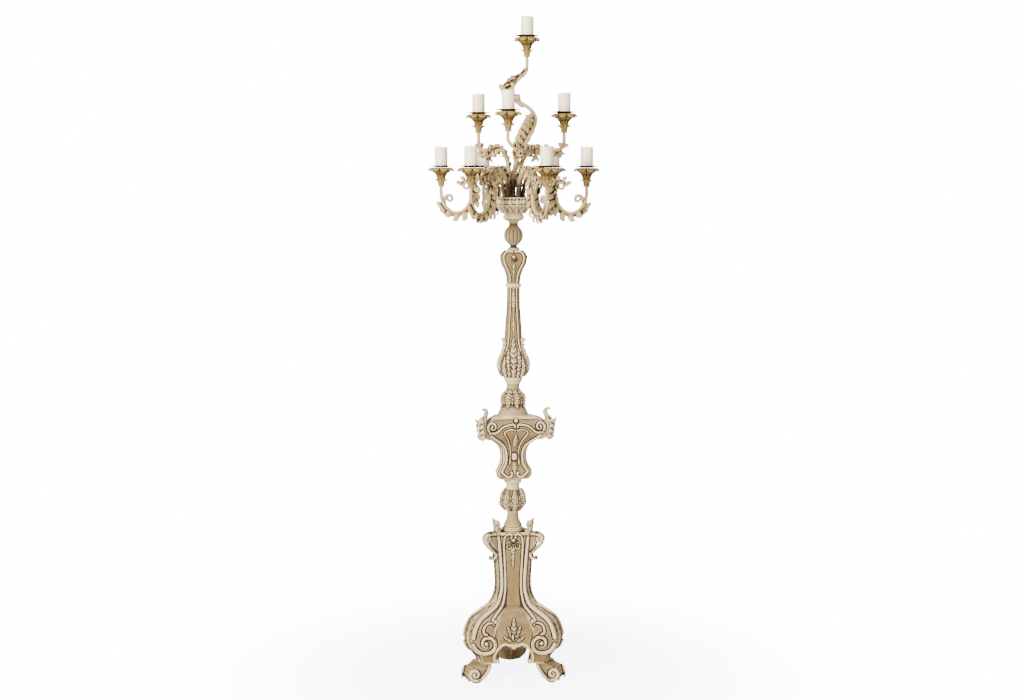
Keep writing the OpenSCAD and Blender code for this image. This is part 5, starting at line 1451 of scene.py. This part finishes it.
parts += [round_bar(in_plane(lower_scroll), 6, 3.4), round_bar(in_plane(upper_scroll), 5.6, 3.2)]
in_space = in_plane(lower_path)
# a leaf that clasps the turn of the U from each end, and one that springs off under the cup
parts += clasping(in_space, 0.44, 0.80, (18, 7), 6)
parts += half_leaf(in_space, 0.47, 0.78, 7, -1, 29, 20)
parts += clasping(in_space, 0.66, 0.46, (7, 15), 4)
under = along(in_space, [0.74])[0]
parts.append(leaf_sheet([under, under + [22, 0, -1], under + [40, 0, 12], under + [56, 0, 30]], OVER, (13, 15), 3, 7))
for a in np.radians((30, 75, 120, 165)):
    out = np.array([-math.cos(a), 0, math.sin(a)])
    at = np.array([lower_reach - 80, 0, rim_z + 33]) + out * 17
    parts += lobe(at, at + out * 14 + [6, 0, 4], width=15, thick=5, splay=4)
for share, side in ((0.08, 1), (0.14, -1), (0.2, 1)):
    at = along(in_space, [share])[0]
    parts += lobe(at, at + [9 * side, 0, 24], width=13, splay=4)
skin = arm_skin(in_space, parts)
for k, turn in enumerate(lower_turns):
    finish_arm("lower_arm_%d" % (k + 1), skin, turn)

middle_points = [[middle_root, block_top, 0]] + rise(
    [[middle_root, 30, 0], [middle_root + 4, 80, 0.2], [middle_root + 20, 125, 0.7], [middle_root + 46, 148, 1],
     [middle_reach - 62, 143, 1], [middle_reach - 28, 141, 0.55], [middle_reach - 6, 152, 0.15],
     [middle_reach, 172, 0]]) + [[middle_reach, middle_cup_z, 0]]


def swayed(points, sway):
    p = np.array(points, float)
    a = np.radians(sway * p[:, 2])
    return np.stack([p[:, 0] * np.cos(a), p[:, 0] * np.sin(a), p[:, 1]], 1)


middle_leaf = rise([[middle_root + 8, 105, 0.6], [middle_root + 26, 142, 0.9], [middle_root + 56, 158, 1],
                    [middle_root + 86, 144, 1], [middle_root + 98, 118, 1]])
middle_lobes = [(.3, -8, 22), (.36, 10, 20), (.6, -12, 18), (.64, -14, -18), (.7, -16, 22), (.74, 4, -26),
                (.79, 16, -22), (.79, 26, -6), (.84, 26, 10), (.84, -12, 18)]
for k, (turn, sway) in enumerate(zip(middle_turns, middle_sways)):
    path = smooth_curve(swayed(middle_points, sway), 6)
    a = math.radians(sway)
    across = np.array([-math.sin(a), math.cos(a), 0])
    half_way = (-math.sin(a / 2), math.cos(a / 2), 0)
    parts = acanthus(smooth_curve(swayed(middle_leaf, sway)), across, 17, 6, 30, 0.75, 4, 0.08, 0.95, 0.85, 0.4)
    for share, out, up in middle_lobes:
        at = along(path, [share])[0]
        turn_at = math.atan2(at[1], at[0])
        away = np.array([math.cos(turn_at), math.sin(turn_at), 0])
        parts += lobe(at, at + away * out + [0, 0, up], (-away[1], away[0], 0), 15, 5, 4.5)
    parts += clasping(path, 0.56, 0.78, (13, 11), 4, across) + half_leaf(path, 0.57, 0.74, 4, -1, 20, 16)
    finish_arm("middle_arm_%d" % (k + 1), arm_skin(path, parts, half_way), turn)

o = top_offset
top_path = smooth_curve([[0, block_top]] + rise(
    [[-1, 22], [2, 78], [o - 20, 139], [o + 4, 182], [o + 22, 216], [o + 27, 240], [o + 16, 264], [o - 8, 283],
     [o - 33, 298], [o - 54, 313], [o - 63, 328], [o - 57, 344], [o - 39, 356], [o - 17, 368], [o - 2, 386], [o, 408]])
    + [[o, top_cup_z]], 5)
small_leaf = smooth_curve(rise([[o - 68, 334], [o - 50, 358], [o - 22, 378], [o - 6, 392]]))
parts = acanthus(in_plane(small_leaf), OVER, 15, 4, 22, 0.5, 3.8, 0.05, 0.9, 0.85, 0.3)
in_space = in_plane(top_path)
parts += clasping(in_space, 0.22, 0.53, (10, 30), 6)
parts += half_leaf(in_space, 0.29, 0.52, 7, 1, 37, 24)
parts += clasping(in_space, 0.86, 0.62, (18, 18), 4)
parts += half_leaf(in_space, 0.68, 0.82, 3, 1, 24, 18) + half_leaf(in_space, 0.66, 0.8, 3, -1, 22, 18)
parts += clasping(in_space, 0.05, 0.2, (14, 14), 3)
finish_arm("top_arm", arm_skin(in_space, parts))


# ---- Cups, pans and candles ----

lower_places = [(lower_reach, turn) for turn in lower_turns]
middle_places = [(middle_reach, turn) for turn in middle_turns]
top_places = [(top_offset, 0)]


def placed(part, places, z):
    """Copies of a part that stands on the axis, moved to each [reach, turn] place."""
    return [rotated((np.array(part[0]) + [reach, 0, z], part[1]), turn) for reach, turn in places]


def lathe(line, cols, wave=None, sag=None):
    """Closed turned part on the axis; wave(angle, row) scales its radius, sag(angle, row) lowers it."""
    line = np.array(line, float)
    rows = len(line)
    a = 2 * np.pi * np.arange(cols) / cols
    r = line[:, :1] * (np.ones(cols) if wave is None else wave(a[None, :], np.arange(rows)[:, None]))
    z = line[:, 1:] - (0 * r if sag is None else sag(a[None, :], np.arange(rows)[:, None]))
    return tube(np.stack([r * np.cos(a), r * np.sin(a), z], -1), [0, 0, line[0, 1]], [0, 0, line[-1, 1]])


cup_line = smooth_profile(
    [[arm_tip_r + 1.5, 0], [arm_tip_r + 3, 0.06 * cup_h], [arm_tip_r + 6, 0.25 * cup_h], [arm_tip_r + 8, 0.45 * cup_h],
     [arm_tip_r + 13, 0.65 * cup_h], [cup_r - 12, 0.8 * cup_h], [cup_r - 3, 0.875 * cup_h], [cup_r - 1.2, 0.92 * cup_h],
     [cup_r - 1, 0.965 * cup_h], [cup_r - 8, 0.995 * cup_h], [cup_r - 14, 0.985 * cup_h]],
    [[cup_r - 18, 0.98 * cup_h], [6, 0.98 * cup_h]])


def petal_wave(a, row):
    height = cup_line[row[:, 0], 1][:, None] / cup_h
    v = np.abs(np.sin(4 * a))
    vein = np.exp(-((1 - v) / 0.05))
    return 1 - ramp(height, 0.3, 0.9) * 0.24 * (1 - v ** 0.45) + ramp(height, 0.4, 0.8) * 0.02 * vein


def petal_sag(a, row):
    r = cup_line[row[:, 0], 0][:, None]
    return ramp(r, cup_r - 10, cup_r) * 6.0 * np.abs(np.sin(4 * a)) ** 1.5


calyx = flat_blade(in_plane([[arm_tip_r + 3.5, 0.27 * cup_h], [arm_tip_r + 8, 0.31 * cup_h],
                             [arm_tip_r + 12.5, 0.37 * cup_h], [arm_tip_r + 15, 0.43 * cup_h]]), (0, 0, 1), 7.5, 3, 4)
calyx_ring = ring_of([calyx], 10, 0, 18, gilt_cups)
foot_bead = lathe(smooth_profile([[arm_tip_r + 1, 0.2], [arm_tip_r + 4.5, 1.2], [arm_tip_r + 5.4, 3.6],
                                  [arm_tip_r + 4.4, 6], [arm_tip_r + 2, 7]]), 40)
cup_parts = [lathe(cup_line, 128, petal_wave, petal_sag), calyx_ring, foot_bead]
for node, places, z in (("lower_cups", lower_places, lower_cup_z), ("middle_cups", middle_places, middle_cup_z),
                        ("top_cup", top_places, top_cup_z)):
    mesh = joined(node + "_petals", [q for p in cup_parts for q in placed(p, places, z)])
    tone = shaped_tone(mesh, 0.3, 0.7)
    finish_piece(node + "_petals", mesh, gilt_cups, [node], "gilt_foliage", ivory=tone, rounds=7, depth=0.6)

pan_line = smooth_profile(
    [[4, 0.05], [candle_r - 2, 0.1]], [[candle_r + 1, 0.7], [candle_r + 4, 2.0], [candle_r + 8, 3.4], [pan_r - 4, 4.6]],
    [[pan_r - 0.6, 4.9], [pan_r, 5.6], [pan_r - 0.6, 6.2]],
    [[pan_r - 4, 5.8], [candle_r + 8, 4.9], [candle_r + 3, 3.8], [candle_r, pan_floor]],
    [[spike_r + 1.5, 3.45], [spike_r, 3.9]],
    [[spike_r, pan_floor + 0.65 * spike_h], [spike_r * 0.8, pan_floor + 0.8 * spike_h],
     [0.5, pan_floor + 0.995 * spike_h]])


def scallops(a, row):
    r = pan_line[row[:, 0], 0][:, None]
    return 1 - ramp(r, pan_r - 8, pan_r - 0.5) * 0.075 * np.abs(np.cos(6 * a)) ** 3


pan_part = lathe(pan_line, 96, scallops)
for node, places, z in (("lower_pans", lower_places, lower_cup_z), ("middle_pans", middle_places, middle_cup_z),
                        ("top_pan", top_places, top_cup_z)):
    mesh = joined(node + "_dished", placed(pan_part, places, z + cup_h))
    finish_piece(node + "_dished", mesh, bronze_skin, [node], "dark_bronze", rounds=4)

candle_h = high("candle_top") - top_cup_z - cup_h - pan_floor - wick_h


def candle(node, body, reach, turn, z, order):
    """Wax with its spike hole, a melted crown, and a bent wick."""
    r, hole = candle_r, spike_r + 0.6
    outer = smooth_profile([[hole, spike_h + 2.5], [hole, 0.05]], [[r - 1.6, 0], [r - 0.4, 0.4], [r, 2.0]],
                           [[r - 0.05, 0.5 * candle_h], [r - 0.35, candle_h - 8]],
                           [[r - 0.5, candle_h - 3], [r - 1.1, candle_h - 0.7], [r - 2.8, candle_h - 0.2],
                            [r - 6, candle_h - 2.2], [r - 11, candle_h - 3.6], [4, candle_h - 3.4],
                            [1.6, candle_h - 2.2]])
    steps = np.linalg.norm(np.diff(outer, axis=0), axis=1)
    # the turned line's own corners stay among its even steps
    outer = along(outer, np.unique(np.concatenate([np.linspace(0, 1, 70), np.cumsum(steps) / steps.sum()])))
    phase = 1.7 * order

    def uneven(a, row):
        t = outer[row[:, 0], 1][:, None] / candle_h
        side = outer[row[:, 0], 0][:, None] > 8
        sway = 0.006 * np.sin(2 * a + phase) + 0.004 * np.sin(3 * a - 2 * phase + 5 * t)
        return 1 - side * (0.010 + sway) * ramp(t, 0.1, 0.9)

    points, faces = lathe(outer, 56, uneven)
    around = np.arctan2(points[:, 1], points[:, 0])
    crown = ramp(points[:, 2], candle_h - 14, candle_h) * (np.hypot(points[:, 0], points[:, 1]) > 8)
    points[:, 2] -= crown * (1.1 + np.sin(around + phase) + 0.5 * np.sin(3 * around - phase))
    wax_mesh = joined(node + "_wax", placed((points, faces), [(reach, turn)], z + cup_h + pan_floor))
    finish_piece(node + "_wax", wax_mesh, wax_skin, [node], "wax", body, rounds=3)
    lean = np.array([math.cos(phase), math.sin(phase)])
    wick = smooth_curve([[0, 0, candle_h - 4], [0, 0, candle_h + 2], [lean[0] * 0.6, lean[1] * 0.6, candle_h + 3.0],
                         [lean[0] * 1.6, lean[1] * 1.6, candle_h + wick_h - 1.3]], 4)
    twist = sweep(wick, 1.15 + 0.18 * np.sin(np.arange(len(wick)) * 2.1), 1.15, (0.3, 1, 0.1), 8)
    wick_mesh = joined(node + "_wick", placed(twist, [(reach, turn)], z + cup_h + pan_floor))
    finish_piece(node + "_wick", wick_mesh, wick_skin, slot="wax", body=body, rounds=1)


order = 0
for label, places, z in (("lower_%d", lower_places, lower_cup_z), ("middle_%d", middle_places, middle_cup_z),
                         ("top", top_places, top_cup_z)):
    for k, (reach, turn) in enumerate(places):
        node = "candle_" + label.replace("%d", str(k + 1))
        candle(node, node + "_body", reach, turn, z, order)
        order += 1


# ---- Camera, floor and light ----

camera_data = bpy.data.cameras.new("camera")
camera_data.lens, camera_data.sensor_width = 54.8, 36
camera = bpy.data.objects.new("camera", camera_data)
camera.matrix_world = (Matrix.Translation((-0.0037, -4.860, 1.617)) @ Matrix.Rotation(math.radians(90 - 6.7), 4, "X")
                       @ Matrix.Rotation(math.radians(0.15), 4, "Z"))
bpy.context.scene.collection.objects.link(camera)
bpy.context.scene.camera = camera

WHITE, VEIL = 16.0, 6.5   # strengths of the background, and of the film over the floor, for camera rays


def floor_material():
    """Pale matt floor with soft shadows, seen as the background's white far from the object."""
    m, n, shader = material("pale studio floor", in_Roughness=0.9)
    at = n.place()
    far = n.add("ShaderNodeVectorMath", operation="LENGTH", in_0=at).outputs["Value"]
    seen = n.add("ShaderNodeLightPath").outputs["Is Camera Ray"]
    n.link(n.blend(n.noise(at, 9.0), (0.80, 0.80, 0.80, 1), (0.84, 0.84, 0.84, 1)), shader.inputs["Base Color"])
    veil = n.add("ShaderNodeEmission", in_Color=(1, 1, 1, 1), in_Strength=n.times(seen, VEIL))
    near = n.add("ShaderNodeAddShader", in_0=shader.outputs[0], in_1=veil.outputs[0])
    glow = n.add("ShaderNodeEmission", in_Color=(1, 1, 1, 1), in_Strength=WHITE)
    both = n.add("ShaderNodeMixShader", in_0=n.times(n.spread(far, 0.3, 1.3), seen),
                 in_1=near.outputs[0], in_2=glow.outputs[0])
    out = next(q for q in m.node_tree.nodes if q.type == "OUTPUT_MATERIAL")
    n.link(both.outputs[0], out.inputs["Surface"])
    return m


sides, radii = 96, [0.5, 2, 8, 60]
ring = 2 * np.pi * np.arange(sides) / sides
points = [[0, 0, 0]] + [[q * math.cos(a) / MM, q * math.sin(a) / MM, 0] for q in radii for a in ring]
faces = [[0, 1 + k, 1 + (k + 1) % sides] for k in range(sides)]
for i in range(1, len(radii)):
    inner, outer = 1 + (i - 1) * sides, 1 + i * sides
    faces += [[inner + k, outer + k, outer + (k + 1) % sides, inner + (k + 1) % sides] for k in range(sides)]
floor = bpy.data.objects.new("studio_floor", to_mesh("studio_floor", points, faces))
floor.data.materials.append(floor_material())
bpy.context.scene.collection.objects.link(floor)

world = bpy.data.worlds.new("studio")
bpy.context.scene.world = world
world.use_nodes = True
world.node_tree.nodes.clear()
n = Nodes(world.node_tree)
light = n.add("ShaderNodeBackground", in_Color=(1, 0.975, 0.93, 1), in_Strength=0.55)
paper = n.add("ShaderNodeBackground", in_Color=(1, 1, 1, 1), in_Strength=WHITE)
sky = n.add("ShaderNodeMixShader", in_0=n.add("ShaderNodeLightPath").outputs["Is Camera Ray"],
            in_1=light.outputs[0], in_2=paper.outputs[0])
n.add("ShaderNodeOutputWorld", in_Surface=sky.outputs[0])


def soft_light(name, place, target, size, watts, colour=(1, 1, 1)):
    data = bpy.data.lights.new(name, "AREA")
    data.shape, data.size, data.energy, data.color = "DISK", size, watts, colour
    lamp = bpy.data.objects.new(name, data)
    lamp.location = place
    lamp.rotation_euler = (Vector(target) - Vector(place)).to_track_quat("-Z", "Y").to_euler()
    bpy.context.scene.collection.objects.link(lamp)


soft_light("key", (-2.6, -3.5, 2.6), (0, 0, 1.0), 1.3, 720, (1.0, 0.955, 0.875))
soft_light("fill", (3.2, -2.4, 1.6), (0, 0, 0.9), 2.2, 90, (1.0, 0.98, 0.94))
soft_light("top", (0.3, 0.8, 3.6), (0, 0, 1.2), 1.6, 50)
